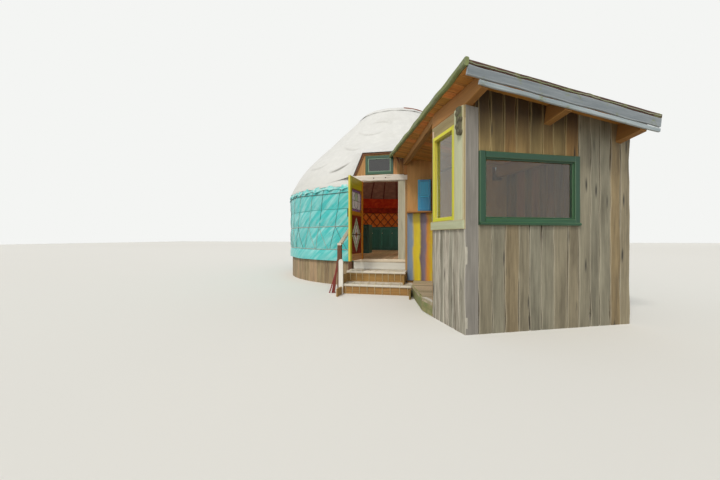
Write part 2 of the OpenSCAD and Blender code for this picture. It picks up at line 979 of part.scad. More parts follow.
// The board along the left wall under the window, and the board up the corner
module corner_trim() {
    sill_t = 25;
    sill_h = 110;
    board_t = 20;
    start = 10;
    color("beige")
        at_cabin() {
            translate([-sill_t, start, yellow_z - sill_h])
                cube([sill_t, left_l - start, sill_h]);
            translate([-board_t, start, yellow_z])
                cube([board_t, yellow_t - start, wall_head(0) - yellow_z]);
        }
}

module carved_bracket() {
    board_t = 20;
    piece_t = 36;
    piece_w = 110;
    piece_h = 330;
    under_head = 12;
    lobe_r = 30;
    color("dimgray")
        at_cabin()
            translate([-board_t, 14 + piece_w, corner_h - piece_h - under_head])
                rotate([0, 0, -90])
                    translate([0, -piece_t, 0])
                        upright(piece_t)
                            difference() {
                                union() {
                                    translate([20, 40])
                                        square([piece_w - 40, piece_h - 40]);
                                    for (k = [0:3])
                                        translate([piece_w / 2 + (k % 2 == 0 ? 16 : -16), 45 + k * 72])
                                            circle(r = lobe_r + 6, $fn = 32);
                                }
                                for (k = [0:3])
                                    translate([piece_w / 2 + (k % 2 == 0 ? -6 : 6), 60 + k * 68])
                                        circle(r = 11, $fn = 24);
                            }
}

// A straight purlin on the slope, s along the front, its tail cut up towards its front end
module purlin(s, back) {
    translate([s / cos(cabin_pitch), 0, 0])
        rotate([90, 0, 90])
            linear_extrude(purlin_w)
                polygon([
                    [-front_over, tail_rise],
                    [0, 0],
                    [back, 0],
                    [back, purlin_h],
                    [-front_over, purlin_h]]);
}

module roof_purlins() {
    beam_y = back_y - 12;
    beam_s = cabin_point([back_left - 100, beam_y])[0];
    start_t = left_l + 30;
    color("peru")
        on_slope() {
            purlin(0, left_l + 20);
            for (s = [mid_purlin, right_purlin])
                purlin(s, reach(s + purlin_w, back_y + back_t));
            translate([0, 0, purlin_h - beam_h])
                linear_extrude(beam_h)
                    polygon([
                        [0, start_t],
                        [purlin_w, start_t],
                        [beam_s + purlin_w, reach(beam_s + purlin_w, beam_y)],
                        [beam_s, reach(beam_s, beam_y)]]);
        }
}

// The roof's outline seen square to its slope, its front edge moved out by g
module roof_outline(g) {
    back_a = cabin_point(roof_back_left);
    back_b = cabin_point([back_left - 3, back_y - 10]);
    back_c = cabin_point([back_left - 3, back_y + back_t + 10]);
    right_t = reach(roof_right_s, back_y + back_t + 10);
    tilt = cos(cabin_pitch);
    polygon([
        [-left_over / tilt, -front_over - g],
        [roof_right_s / tilt, -front_over - g],
        [roof_right_s / tilt, right_t],
        [back_c[0] / tilt, back_c[1]],
        [back_b[0] / tilt, back_b[1]],
        [back_a[0] / tilt, back_a[1]]]);
}

module roof_boards() {
    color("peru")
        on_slope()
            translate([0, 0, purlin_h])
                linear_extrude(soffit_t)
                    roof_outline(0);
}

module roof_covering() {
    color("darkolivegreen")
        on_slope()
            translate([0, 0, purlin_h + soffit_t])
                linear_extrude(cover_roof_t)
                    roof_outline(verge_t + 5);
}

module verge_boards() {
    l = (left_over + roof_right_s) / cos(cabin_pitch);
    top = purlin_h + soffit_t;
    color("lightsteelblue")
        on_slope()
            translate([-left_over / cos(cabin_pitch), -front_over - verge_t, top - verge_h]) {
                cube([l, verge_t, verge_h]);
                translate([lower_verge_in, 0, -verge_gap - lower_verge_h])
                    cube([l - lower_verge_in, verge_t, lower_verge_h]);
            }
}

// The timber along the left edge, which stands up past the covering
module roof_side_board() {
    tilt = cos(cabin_pitch);
    back_a = cabin_point(roof_back_left);
    color("darkseagreen")
        on_slope()
            translate([0, 0, purlin_h])
                linear_extrude(side_h)
                    polygon([
                        [(-left_over - side_t) / tilt, -front_over - verge_t],
                        [-left_over / tilt, -front_over - verge_t],
                        [-left_over / tilt, -front_over],
                        [back_a[0] / tilt, back_a[1]],
                        [(back_a[0] - side_t) / tilt, back_a[1]]]);
}

module painted_panel() {
    panel_w = 600;
    shelf_d = 200;
    shelf_t = 30;
    panel_top = 1600;
    color("goldenrod")
        translate([back_left, back_y - 30, porch_h])
            cube([panel_w, 30, panel_top - porch_h]);
    color("saddlebrown")
        translate([back_left, back_y - shelf_d, panel_top])
            cube([panel_w, shelf_d, shelf_t]);
}

module wall_cupboard() {
    cup_from = 225;
    cup_w = 260;
    cup_d = 180;
    cup_h = 640;
    shelf_top = 1630;
    color("deepskyblue")
        translate([back_left + cup_from, back_y - cup_d, shelf_top])
            cube([cup_w, cup_d, cup_h]);
}

// A cabinet open at its back, w wide, its front towards the door and its foot at the origin
module cabinet(w, d) {
    top_over = 15;
    difference() {
        cube([w, d, counter_h]);
        translate([counter_t, counter_t, counter_t])
            cube([w - 2 * counter_t, d, counter_h - 2 * counter_t]);
    }
    translate([0, -top_over, counter_h - counter_t])
        cube([w, top_over, counter_t]);
}

module inner_counter() {
    back_x = -1060;
    back_front = 1600;
    left_x = -1240;
    left_front = -820;
    left_w = 560;
    color("mediumturquoise") {
        translate([back_x, back_front, floor_h])
            cabinet(counter_l, counter_d);
        translate([left_x, left_front, floor_h])
            cabinet(left_w, counter_d);
    }
}

platform_floor();
platform_piers();
platform_skirt(150, 120);  // platform_skirt_left
platform_skirt(30, 120);  // platform_skirt_back
platform_skirt(-90, 120);  // platform_skirt_right
lattice_run(0, bay_count / 5);  // lattice_left_front
lattice_run(bay_count / 5, bay_count / 5);  // lattice_left_back
lattice_run(bay_count * 2 / 5, bay_count / 5);  // lattice_back
lattice_run(bay_count * 3 / 5, bay_count / 5);  // lattice_right_back
lattice_run(bay_count * 4 / 5, bay_count / 5);  // lattice_right_front
wall_cover(180, 90 - door_angle);  // wall_cover_left
wall_cover(90, 90);  // wall_cover_back_left
wall_cover(0, 90);  // wall_cover_back_right
wall_cover(-90 + door_angle, 90 - door_angle);  // wall_cover_right
wall_ropes();
inner_band();
roof_cover(-135);  // roof_cover_front
roof_cover(135);  // roof_cover_left
roof_cover(45);  // roof_cover_back
roof_cover(-45);  // roof_cover_right
pole_side(-1);  // roof_poles_left
pole_side(1);  // roof_poles_right
crown_ring();
crown_cap();
door_jambs();
door_lintel();
door_threshold();
door_leaf();
door_lower_panel();
door_panes();
door_straps();
door_pintles();
dormer_front();
dormer_window();
dormer_glass();
dormer_hood();
step_lower();
landing();
stair_posts();
stair_handrail();
porch_floor();
cabin_wall_front();
cabin_wall_left();
cabin_wall_right();
cabin_wall_back();
green_window();
green_window_glass();
yellow_window();
yellow_window_glass();
corner_trim();
carved_bracket();
roof_purlins();
roof_boards();
roof_covering();
verge_boards();
roof_side_board();
painted_panel();
wall_cupboard();
inner_counter();
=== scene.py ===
import math
import random

import bmesh
import bpy
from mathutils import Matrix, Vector, noise


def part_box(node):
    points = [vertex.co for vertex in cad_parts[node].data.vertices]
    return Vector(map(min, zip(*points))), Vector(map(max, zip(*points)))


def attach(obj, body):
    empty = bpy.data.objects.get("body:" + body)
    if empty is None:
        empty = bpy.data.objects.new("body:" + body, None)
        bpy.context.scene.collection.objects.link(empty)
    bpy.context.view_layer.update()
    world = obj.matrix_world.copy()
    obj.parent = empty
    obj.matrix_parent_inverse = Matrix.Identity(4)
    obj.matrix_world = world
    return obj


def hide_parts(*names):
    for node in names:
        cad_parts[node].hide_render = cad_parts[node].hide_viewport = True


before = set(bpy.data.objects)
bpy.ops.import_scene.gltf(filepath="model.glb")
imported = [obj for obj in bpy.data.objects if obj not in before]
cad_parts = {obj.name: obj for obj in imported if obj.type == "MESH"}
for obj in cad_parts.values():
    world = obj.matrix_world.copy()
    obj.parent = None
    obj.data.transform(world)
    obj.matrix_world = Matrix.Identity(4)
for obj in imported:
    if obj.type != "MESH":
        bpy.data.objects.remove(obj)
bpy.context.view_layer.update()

# The view and the daylight
# Someone stands on level ground a little to the right of the steps with a wide lens
# at hip height. The daylight is soft and comes from high on the left.
EYE = Vector((1.06, -10.11, 1.10))
EYE_TURN = math.radians(12.23)
HORIZON_UP_PX = 3.0
FRAME_W_PX = 720.0

eye = bpy.data.objects.new("eye", bpy.data.cameras.new("eye"))
bpy.context.scene.collection.objects.link(eye)
eye.location = EYE
eye.rotation_euler = (math.radians(90), 0, EYE_TURN)
eye.data.lens = 16.0
eye.data.sensor_width = 36.0
eye.data.shift_y = -HORIZON_UP_PX / FRAME_W_PX
eye.data.clip_end = 200.0
bpy.context.scene.camera = eye
bpy.context.scene.view_settings.view_transform = "Standard"


def paint(hex_colour):
    """An sRGB hex colour as the linear colour that a shader takes."""
    parts = [int(hex_colour[i : i + 2], 16) / 255 for i in (1, 3, 5)]
    return tuple(p / 12.92 if p <= 0.04045 else ((p + 0.055) / 1.055) ** 2.4 for p in parts) + (1.0,)


def put(tree, kind, links=None, **settings):
    """Adds a node, with its settings by name and its inputs as values or as sockets."""
    node = tree.nodes.new(kind)
    for name, value in settings.items():
        setattr(node, name, value)
    for name, value in (links or {}).items():
        if isinstance(value, bpy.types.NodeSocket):
            tree.links.new(value, node.inputs[name])
        else:
            node.inputs[name].default_value = value
    return node


def bare(name):
    """A new material without any node, and its node tree."""
    made = bpy.data.materials.new(name)
    made.use_nodes = True
    made.node_tree.nodes.clear()
    return made, made.node_tree


def shown(tree):
    """One for the rays that only show a thing, straight, mirrored or through glass, and nought for light."""
    ray = put(tree, "ShaderNodeLightPath").outputs
    either = put(
        tree, "ShaderNodeMath", {0: ray["Is Camera Ray"], 1: ray["Is Glossy Ray"]}, operation="MAXIMUM"
    ).outputs[0]
    return put(
        tree, "ShaderNodeMath", {0: either, 1: ray["Is Transmission Ray"]}, operation="MAXIMUM",
    ).outputs[0]


sky = bpy.data.worlds.new("sky")
bpy.context.scene.world = sky
sky.use_nodes = True
sky.node_tree.nodes.clear()
lit = put(sky.node_tree, "ShaderNodeBackground", {"Color": paint("#F2F4F5"), "Strength": 0.50})
seen = put(sky.node_tree, "ShaderNodeBackground", {"Color": paint("#F4F5F3"), "Strength": 1.0})
either = put(
    sky.node_tree, "ShaderNodeMixShader", {0: shown(sky.node_tree), 1: lit.outputs[0], 2: seen.outputs[0]},
)
put(sky.node_tree, "ShaderNodeOutputWorld", {"Surface": either.outputs[0]})

for name, power, colour, spread, shines in (
    ("high_sun", 1.5, "#FFFAF0", 12.0, (0.26, 0.60, -0.76)),
    ("open_shade", 0.95, "#FBFAF8", 60.0, (-0.10, 0.92, -0.38)),
):
    lamp = bpy.data.objects.new(name, bpy.data.lights.new(name, "SUN"))
    lamp.data.energy = power
    lamp.data.color = paint(colour)[:3]
    lamp.data.angle = math.radians(spread)
    lamp.rotation_euler = Vector(shines).to_track_quat("-Z", "Y").to_euler()
    bpy.context.scene.collection.objects.link(lamp)
crown_light = bpy.data.objects.new("crown_light", bpy.data.lights.new("crown_light", "POINT"))
crown_light.data.energy = 78.0
crown_light.data.shadow_soft_size = 0.5
crown_light.data.color = paint("#FFE9CF")[:3]
crown_light.location = (0.0, -0.4, 3.0)
crown_light.visible_camera = False
crown_light.visible_glossy = False
crown_light.visible_transmission = False
bpy.context.scene.collection.objects.link(crown_light)


# The ground
# A wide pale floor, a little warmer than the backdrop, which takes the shadows.
ground = bpy.data.meshes.new("ground")
ground.from_pydata([(-60, -60, 0), (60, -60, 0), (60, 60, 0), (-60, 60, 0)], [], [(0, 1, 2, 3)])
floor = bpy.data.objects.new("studio_floor", ground)
bpy.context.scene.collection.objects.link(floor)
pale, paving = bare("studio_floor")
speck = put(paving, "ShaderNodeTexNoise", {"Scale": 3.0, "Detail": 6.0})
chalk = put(
    paving,
    "ShaderNodeMix",
    {0: speck.outputs["Fac"], 6: paint("#EDECE8"), 7: paint("#E4E2DC")},
    data_type="RGBA",
)
bounced = put(paving, "ShaderNodeBsdfDiffuse", {"Color": paint("#B6B2A8")})
matt = put(paving, "ShaderNodeBsdfPrincipled", {"Base Color": chalk.outputs[2], "Roughness": 0.9})
cast = put(paving, "ShaderNodeMixShader", {0: shown(paving), 1: bounced.outputs[0], 2: matt.outputs[0]})
put(paving, "ShaderNodeOutputMaterial", {"Surface": cast.outputs[0]})
ground.materials.append(pale)

# Timber
# Every board is a bevelled bar whose edges wander. It carries its own grain places, a
# tone of its own and how near each point is to an edge, and one material reads them.
BEVEL = 0.003


def board(
    foot, along, across, size, wane=0.0, slant=(0.0, 0.0), bevel=BEVEL, rng=random.Random(1), step=0.28,
):
    """A board of size (length, width, depth): points, faces, grain places, tones and nearness to an edge."""
    length, width, depth = size
    along, across = Vector(along).normalized(), Vector(across).normalized()
    out = along.cross(across)
    tone, shift = rng.random(), Vector((rng.random() * 40, rng.random() * 20, rng.random() * 9))
    count = max(1, round(length / step))
    bevel = min(bevel, width * 0.3, depth * 0.3)
    inset = 0.27 * width
    points, lie, edge, faces = [], [], [], []
    phase = [rng.random() * 50 for _ in range(3)]
    for i in range(count + 1):
        t = i / count
        low = wane * (noise.noise(Vector((t * length * 3.1, phase[0], 0))) - 0.1) if wane else 0.0
        high = width + (wane * (noise.noise(Vector((t * length * 2.7, phase[1], 5))) - 0.1) if wane else 0.0)
        cup = 0.12 * wane * noise.noise(Vector((t * length * 1.5, phase[2], 9)))
        ring = [
            (low + bevel, 0, 1), (low + inset, 0, 0), (high - inset, 0, 0), (high - bevel, 0, 1),
            (high, bevel, 1), (high, depth - bevel, 1), (high - bevel, depth, 1), (high - inset, depth, 0),
            (low + inset, depth, 0), (low + bevel, depth, 1), (low, depth - bevel, 1), (low, bevel, 1),
        ]
        for y, z, near in ring:
            x = (1 - t) * slant[0] * y + t * (length + slant[1] * y)
            points.append(Vector(foot) + along * x + across * y + out * (z + cup))
            lie.append(Vector((x, y, z)) + shift)
            edge.append(near)
    around = len(ring)
    for i in range(count):
        for k in range(around):
            a, b = i * around + k, i * around + (k + 1) % around
            faces.append((a, a + around, b + around, b))
    faces.append(tuple(range(around)))
    faces.append(tuple(count * around + k for k in reversed(range(around))))
    return points, faces, lie, [tone] * len(points), edge


def piece(name, parts, material, body, nodes=(), smooth=False):
    """Joins parts into one object with its material, its body and what it stands for."""
    points, faces, lie, tone, edge = [], [], [], [], []
    for part in parts:
        start = len(points)
        points += part[0]
        faces += [tuple(start + k for k in face) for face in part[1]]
        lie += part[2]
        tone += part[3]
        edge += part[4]
    mesh = bpy.data.meshes.new(name)
    mesh.from_pydata([tuple(p) for p in points], [], faces)
    outward = bmesh.new()
    outward.from_mesh(mesh)
    bmesh.ops.recalc_face_normals(outward, faces=outward.faces)
    outward.to_mesh(mesh)
    outward.free()
    for title, kind, values in (
        ("lie", "FLOAT_VECTOR", lie), ("tone", "FLOAT", tone), ("edge", "FLOAT", edge),
    ):
        layer = mesh.attributes.new(title, kind, "POINT")
        if kind == "FLOAT":
            layer.data.foreach_set("value", [float(v) for v in values])
        else:
            layer.data.foreach_set("vector", [c for v in values for c in v])
    mesh.polygons.foreach_set("use_smooth", [smooth] * len(mesh.polygons))
    mesh.materials.append(material)
    mesh.update()
    made = bpy.data.objects.new(name, mesh)
    bpy.context.scene.collection.objects.link(made)
    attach(made, body)
    if nodes:
        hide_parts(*nodes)
    return made


def blend(tree, share, low, high, how="MIX"):
    """The colour socket of a mix of two colours."""
    return put(
        tree, "ShaderNodeMix", {0: share, 6: low, 7: high}, data_type="RGBA", blend_type=how,
    ).outputs[2]


def timber(
    name, light, dark, worn, along=None, plank=0.0, knots=0.6, blotch=0.5, rough=0.72, relief=0.0012,
    moss=0.0, wear=0.5, spread=0.4, other=None, painted_shade_from=None,
):
    """Wood seen along its grain. Boards bring their places; on a CAD node, along turns x to the grain."""
    made, tree = bare(name)
    if along is None:
        place = put(tree, "ShaderNodeAttribute", attribute_name="lie").outputs["Vector"]
        tone = put(tree, "ShaderNodeAttribute", attribute_name="tone").outputs["Fac"]
        edge = put(tree, "ShaderNodeAttribute", attribute_name="edge").outputs["Fac"]
    else:
        where = put(tree, "ShaderNodeTexCoord").outputs["Object"]
        turn = [math.radians(a) for a in along]
        place = put(tree, "ShaderNodeMapping", {"Vector": where, "Rotation": turn}).outputs[0]
        tone, edge = 0.5, 0.0
    gap = 0.0
    if plank:
        parts = put(tree, "ShaderNodeSeparateXYZ", {0: place})
        lane = put(tree, "ShaderNodeMath", {0: parts.outputs["Y"], 1: plank}, operation="DIVIDE").outputs[0]
        whole = put(tree, "ShaderNodeMath", {0: lane}, operation="FLOOR").outputs[0]
        tone = put(tree, "ShaderNodeTexWhiteNoise", {"W": whole}, noise_dimensions="1D").outputs["Value"]
        side = put(tree, "ShaderNodeMath", {0: lane, 1: 0.5}, operation="PINGPONG").outputs[0]
        gap = put(
            tree, "ShaderNodeMapRange", {"Value": side, "From Min": 0.004 / plank, "From Max": 0.001 / plank}
        ).outputs[0]
        slide = put(
            tree, "ShaderNodeCombineXYZ",
            {0: put(tree, "ShaderNodeMath", {0: whole, 1: 3.7}, operation="MULTIPLY").outputs[0]},
        )
        place = put(tree, "ShaderNodeVectorMath", {0: place, 1: slide.outputs[0]}).outputs[0]
    sway = put(tree, "ShaderNodeTexNoise", {"Vector": place, "Scale": 2.2, "Detail": 2.0}).outputs["Color"]
    sway = put(
        tree, "ShaderNodeVectorMath", {0: sway, 1: (0.0, 0.035, 0.035)}, operation="MULTIPLY",
    ).outputs[0]
    bent = put(tree, "ShaderNodeVectorMath", {0: place, 1: sway}).outputs[0]
    streaky = put(
        tree, "ShaderNodeVectorMath", {0: bent, 1: (1.6, 42.0, 42.0)}, operation="MULTIPLY",
    ).outputs[0]
    streak = put(
        tree, "ShaderNodeTexNoise", {"Vector": streaky, "Scale": 1.0, "Detail": 6.0, "Roughness": 0.62},
    ).outputs["Fac"]
    hairy = put(
        tree, "ShaderNodeVectorMath", {0: bent, 1: (14.0, 420.0, 420.0)}, operation="MULTIPLY",
    ).outputs[0]
    fibre = put(tree, "ShaderNodeTexNoise", {"Vector": hairy, "Scale": 1.0, "Detail": 3.0}).outputs["Fac"]
    slow = put(tree, "ShaderNodeVectorMath", {0: place, 1: (1.1, 6.0, 6.0)}, operation="MULTIPLY").outputs[0]
    patch = put(
        tree, "ShaderNodeTexNoise", {"Vector": slow, "Scale": 1.0, "Detail": 4.0, "Roughness": 0.6},
    ).outputs["Fac"]
    spots = put(tree, "ShaderNodeVectorMath", {0: bent, 1: (1.5, 8.5, 3.0)}, operation="MULTIPLY").outputs[0]
    cell = put(tree, "ShaderNodeTexVoronoi", {"Vector": spots, "Scale": 1.0}).outputs["Distance"]
    knot = put(
        tree, "ShaderNodeMapRange", {"Value": cell, "From Min": 0.17, "From Max": 0.05, "To Max": knots}
    ).outputs[0]
    grain = put(tree, "ShaderNodeMix", {0: blotch, 2: streak, 3: patch}, data_type="FLOAT").outputs[0]
    share = put(
        tree, "ShaderNodeMapRange",
        {"Value": grain, "From Min": 0.5 - spread / 2, "From Max": 0.5 + spread / 2},
    ).outputs[0]
    colour = blend(tree, share, paint(dark), paint(light))
    shade = put(tree, "ShaderNodeMapRange", {"Value": tone, "To Min": 0.72, "To Max": 1.18}).outputs[0]
    warm = put(tree, "ShaderNodeMapRange", {"Value": tone, "To Min": 0.515, "To Max": 0.49}).outputs[0]
    colour = put(tree, "ShaderNodeHueSaturation", {"Hue": warm, "Value": shade, "Color": colour}).outputs[0]
    if other:
        tint = blend(tree, tone, (1.0, 1.0, 1.0, 1.0), paint(other))
        colour = blend(tree, 1.0, colour, tint, "MULTIPLY")
    # Painted shade: the wood darkens between two heights, for the shade under the roof's edge.
    if painted_shade_from:
        high = put(
            tree, "ShaderNodeSeparateXYZ", {0: put(tree, "ShaderNodeTexCoord").outputs["Object"]},
        ).outputs["Z"]
        near = put(
            tree, "ShaderNodeMapRange",
            {"Value": high, "From Min": painted_shade_from[0], "From Max": painted_shade_from[1]},
        ).outputs[0]
        near = put(tree, "ShaderNodeMath", {0: near, 1: painted_shade_from[2]}, operation="MULTIPLY").outputs[0]
        colour = blend(tree, near, colour, blend(tree, 1.0, colour, paint(painted_shade_from[3]), "MULTIPLY"))
    colour = blend(tree, knot, colour, tuple(c * 0.22 for c in paint(dark)[:3]) + (1.0,))
    fray = put(tree, "ShaderNodeMath", {0: edge, 1: 7.0}, operation="POWER").outputs[0]
    fray = put(tree, "ShaderNodeMath", {0: fray, 1: fibre}, operation="MULTIPLY").outputs[0]
    fray = put(
        tree, "ShaderNodeMath", {0: fray, 1: wear * 1.6}, operation="MULTIPLY", use_clamp=True,
    ).outputs[0]
    colour = blend(tree, fray, colour, paint(worn))
    if moss:
        where = put(tree, "ShaderNodeTexCoord").outputs["Object"]
        tuft = put(
            tree, "ShaderNodeTexNoise", {"Vector": where, "Scale": 4.5, "Detail": 8.0, "Roughness": 0.7},
        ).outputs["Fac"]
        grown = put(
            tree, "ShaderNodeMapRange",
            {"Value": tuft, "From Min": 0.62 - moss * 0.3, "From Max": 0.72 - moss * 0.25},
        ).outputs[0]
        green = blend(tree, fibre, paint("#4F5A2C"), paint("#9AA368"))
        colour = blend(tree, grown, colour, green)
    if plank:
        colour = blend(tree, gap, colour, tuple(c * 0.1 for c in paint(dark)[:3]) + (1.0,))
    height = put(tree, "ShaderNodeMath", {0: streak, 1: fibre}).outputs[0]
    height = put(tree, "ShaderNodeMath", {0: height, 1: knot}, operation="SUBTRACT").outputs[0]
    if plank:
        height = put(tree, "ShaderNodeMath", {0: height, 1: gap}, operation="SUBTRACT").outputs[0]
    bump = put(tree, "ShaderNodeBump", {"Height": height, "Distance": relief, "Strength": 0.9})
    shine = put(
        tree, "ShaderNodeMapRange", {"Value": fibre, "To Min": rough - 0.12, "To Max": rough + 0.14},
    ).outputs[0]
    bark = put(
        tree, "ShaderNodeBsdfPrincipled",
        {"Base Color": colour, "Roughness": shine, "IOR": 1.53, "Normal": bump.outputs[0]},
    )
    put(tree, "ShaderNodeOutputMaterial", {"Surface": bark.outputs[0]})
    return made


def dress(material, *nodes):
    """Gives a CAD node its material."""
    for node in nodes:
        thing = bpy.data.objects[node]
        thing.data.materials.clear()
        thing.data.materials.append(material)


# Platform
# The round floor stands on its piers, and upright boards close the space under it.
weathered = timber("skirt_boards", "#BBA17C", "#6B5640", "#CDBD9F", blotch=0.55, knots=0.6, spread=0.34)
rng = random.Random(11)
floor_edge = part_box("platform_skirt_back")[1].y
floor_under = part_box("platform_floor")[0].z
SKIRT_T, SKIRT_GAP = 0.022, 0.006
SILL_HALF, SILL_FOOT = 0.66, 0.556
skirt = []
turn = 0.0
while turn < 2 * math.pi - 0.03:
    width = min(rng.uniform(0.115, 0.165), (2 * math.pi - turn) * floor_edge)
    middle = turn + width / 2 / floor_edge
    outward = Vector((math.cos(middle), math.sin(middle), 0))
    across = Vector((-math.sin(middle), math.cos(middle), 0))
    under_door = abs(outward.x * floor_edge) < SILL_HALF and outward.y < 0
    high = (SILL_FOOT if under_door else floor_under - 0.002) - rng.uniform(0.0, 0.006)
    foot = outward * floor_edge - across * (width / 2 - SKIRT_GAP / 2)
    skirt.append(board(foot, (0, 0, 1), across, (high, width - SKIRT_GAP, SKIRT_T), wane=0.012, rng=rng))
    turn += width / floor_edge
piece(
    "skirt_boards", skirt, weathered, "house",
    ("platform_skirt_left", "platform_skirt_back", "platform_skirt_right"),
)
floor_boards = timber(
    "floor_boards", "#DCC7A4", "#A07F57", "#E6D8BE", along=(0, 0, 90), plank=0.12, rough=0.42, relief=0.0006
)
dress(floor_boards, "platform_floor")
dress(timber("pier_timber", "#8A7B68", "#51463A", "#9A8C78", along=(0, 90, 0)), "platform_piers")

# Lattice, poles and crown
# The lattice is oiled brown, the bent poles are stained dark red, and a red woven band
# runs along the head of the lattice.
lath = timber("oiled_laths", "#A8602E", "#5F2C14", "#B9773F", along=(0, 0, 0), rough=0.5, knots=0.2)
LATTICE = [
    "lattice_left_front", "lattice_left_back", "lattice_back", "lattice_right_back", "lattice_right_front",
]
dress(lath, *LATTICE)
pole = timber("stained_poles", "#7C2418", "#3E0F0B", "#8E3A28", along=(0, 0, 0), rough=0.5, knots=0.2)
dress(pole, "roof_poles_left", "roof_poles_right", "crown_ring")


def cloth(
    name, colour, pale, stain, weave=0.0012, rough=0.6, crinkle=0.003, sheen=0.2, low=None, painted_highlight_share=1.0,
    drag=0.0,
):
    """Woven cloth, placed by its own map in metres, with threads, crinkles, painted highlight in pale patches
    along the crinkles, and stains.
    """
    made, tree = bare(name)
    laid = put(tree, "ShaderNodeUVMap", uv_map="cut").outputs[0]
    threads = []
    for axis in ("X", "Y"):
        wave = put(
            tree, "ShaderNodeTexWave", {"Vector": laid, "Scale": 0.314 / weave, "Distortion": 0.6},
            wave_type="BANDS", bands_direction=axis,
        )
        threads.append(wave.outputs["Fac"])
    thread = put(tree, "ShaderNodeMath", {0: threads[0], 1: threads[1]}, operation="MULTIPLY").outputs[0]
    pulled = put(
        tree, "ShaderNodeMapping",
        {
            "Vector": laid, "Rotation": (0.0, 0.0, drag),
            "Scale": (1.6, 0.22, 1.0) if drag else (1.0, 1.0, 1.0),
        },
        vector_type="TEXTURE",
    ).outputs[0]
    crease = put(
        tree, "ShaderNodeTexNoise",
        {"Vector": pulled, "Scale": 2.2 if drag else 7.0, "Detail": 5.0, "Roughness": 0.5, "Distortion": 0.4},
    ).outputs["Fac"]
    wide = put(tree, "ShaderNodeTexNoise", {"Vector": laid, "Scale": 1.3, "Detail": 4.0}).outputs["Fac"]
    # Painted highlight: where the crinkle noise rises the cloth turns to its pale colour, standing in for
    # light on the folds.
    fold = put(
        tree, "ShaderNodeMapRange", {"Value": crease, "From Min": 0.42, "From Max": 0.72, "To Max": painted_highlight_share}
    ).outputs[0]
    shade = blend(tree, fold, paint(colour), paint(pale))
    worn = put(
        tree, "ShaderNodeMapRange", {"Value": wide, "From Min": 0.5, "From Max": 0.78, "To Max": 0.4},
    ).outputs[0]
    shade = blend(tree, worn, shade, paint(stain))
    if low:
        where = put(
            tree, "ShaderNodeSeparateXYZ", {0: put(tree, "ShaderNodeTexCoord").outputs["Object"]},
        ).outputs["Z"]
        near = put(
            tree, "ShaderNodeMapRange",
            {"Value": where, "From Min": low[1], "From Max": low[0], "To Max": low[3]},
        ).outputs[0]
        near = put(tree, "ShaderNodeMath", {0: near, 1: crease}, operation="MULTIPLY").outputs[0]
        shade = blend(tree, near, shade, paint(low[2]))
    faint = put(tree, "ShaderNodeMath", {0: thread, 1: 0.18}, operation="MULTIPLY").outputs[0]
    shade = blend(tree, faint, shade, paint(stain))
    # Painted shade: points marked under the long folds darken to a fifth of the stain colour.
    painted_fold_shade = put(tree, "ShaderNodeAttribute", attribute_name="painted_fold_shade").outputs["Fac"]
    shade = blend(tree, painted_fold_shade, shade, tuple(c * 0.22 for c in paint(stain)[:3]) + (1.0,))
    fine = put(tree, "ShaderNodeBump", {"Height": thread, "Distance": weave * 0.15, "Strength": 0.5})
    bump = put(
        tree, "ShaderNodeBump",
        {"Height": crease, "Distance": crinkle, "Strength": 0.6, "Normal": fine.outputs[0]},
    )
    shine = put(
        tree, "ShaderNodeMapRange", {"Value": crease, "To Min": rough - 0.08, "To Max": rough + 0.1},
    ).outputs[0]
    skin = put(
        tree, "ShaderNodeBsdfPrincipled",
        {
            "Base Color": shade, "Roughness": shine, "IOR": 1.46, "Normal": bump.outputs[0],
            "Sheen Weight": sheen, "Sheen Roughness": 0.5,
        },
    )
    put(tree, "ShaderNodeOutputMaterial", {"Surface": skin.outputs[0]})
    return made


def sheet(name, columns, rows, place, cut, material, body, nodes=(), skip=None):
    """A smooth sheet over the grid of columns and rows, with its map in metres from cut."""
    points = [place(a, b) for b in rows for a in columns]
    wide = len(columns)
    faces, corners = [], []
    for j in range(len(rows) - 1):
        for i in range(wide - 1):
            if skip and skip(0.5 * (columns[i] + columns[i + 1]), 0.5 * (rows[j] + rows[j + 1])):
                continue
            faces.append((j * wide + i, j * wide + i + 1, (j + 1) * wide + i + 1, (j + 1) * wide + i))
            corners += [(i, j), (i + 1, j), (i + 1, j + 1), (i, j + 1)]
    mesh = bpy.data.meshes.new(name)
    mesh.from_pydata(points, [], faces)
    layer = mesh.uv_layers.new(name="cut")
    layer.data.foreach_set("uv", [c for i, j in corners for c in cut(columns[i], rows[j])])
    mesh.polygons.foreach_set("use_smooth", [True] * len(mesh.polygons))
    mesh.materials.append(material)
    mesh.update()
    made = bpy.data.objects.new(name, mesh)
    bpy.context.scene.collection.objects.link(made)
    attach(made, body)
    if nodes:
        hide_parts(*nodes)
    return made


def spread(low, high, step):
    """Even steps from low to high."""
    count = max(1, round(abs(high - low) / step))
    return [low + (high - low) * i / count for i in range(count + 1)]


def sag(t):
    """Nought at both ends of a span and one in its middle."""
    return math.sin(math.pi * min(max(t, 0.0), 1.0))


band_low, band_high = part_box("inner_band")
band_r = band_high.y - 0.002
band = cloth("woven_band", "#842619", "#B04426", "#621711", weave=0.006, rough=0.85, crinkle=0.001, sheen=0.4)
BAND_FROM, BAND_TO = -76, 256


def band_place(a, z):
    """The point of the woven band a degrees round the lattice at the height z."""
    r = band_r + 0.0015 * math.sin(a * 1.3)
    return (r * math.cos(math.radians(a)), r * math.sin(math.radians(a)), z)


inner_band = sheet(
    "inner_band_cloth", spread(BAND_FROM, BAND_TO, 2), spread(band_low.z, band_high.z, 0.045), band_place,
    lambda a, z: (math.radians(a) * band_r, z), band, "house", ("inner_band",),
)

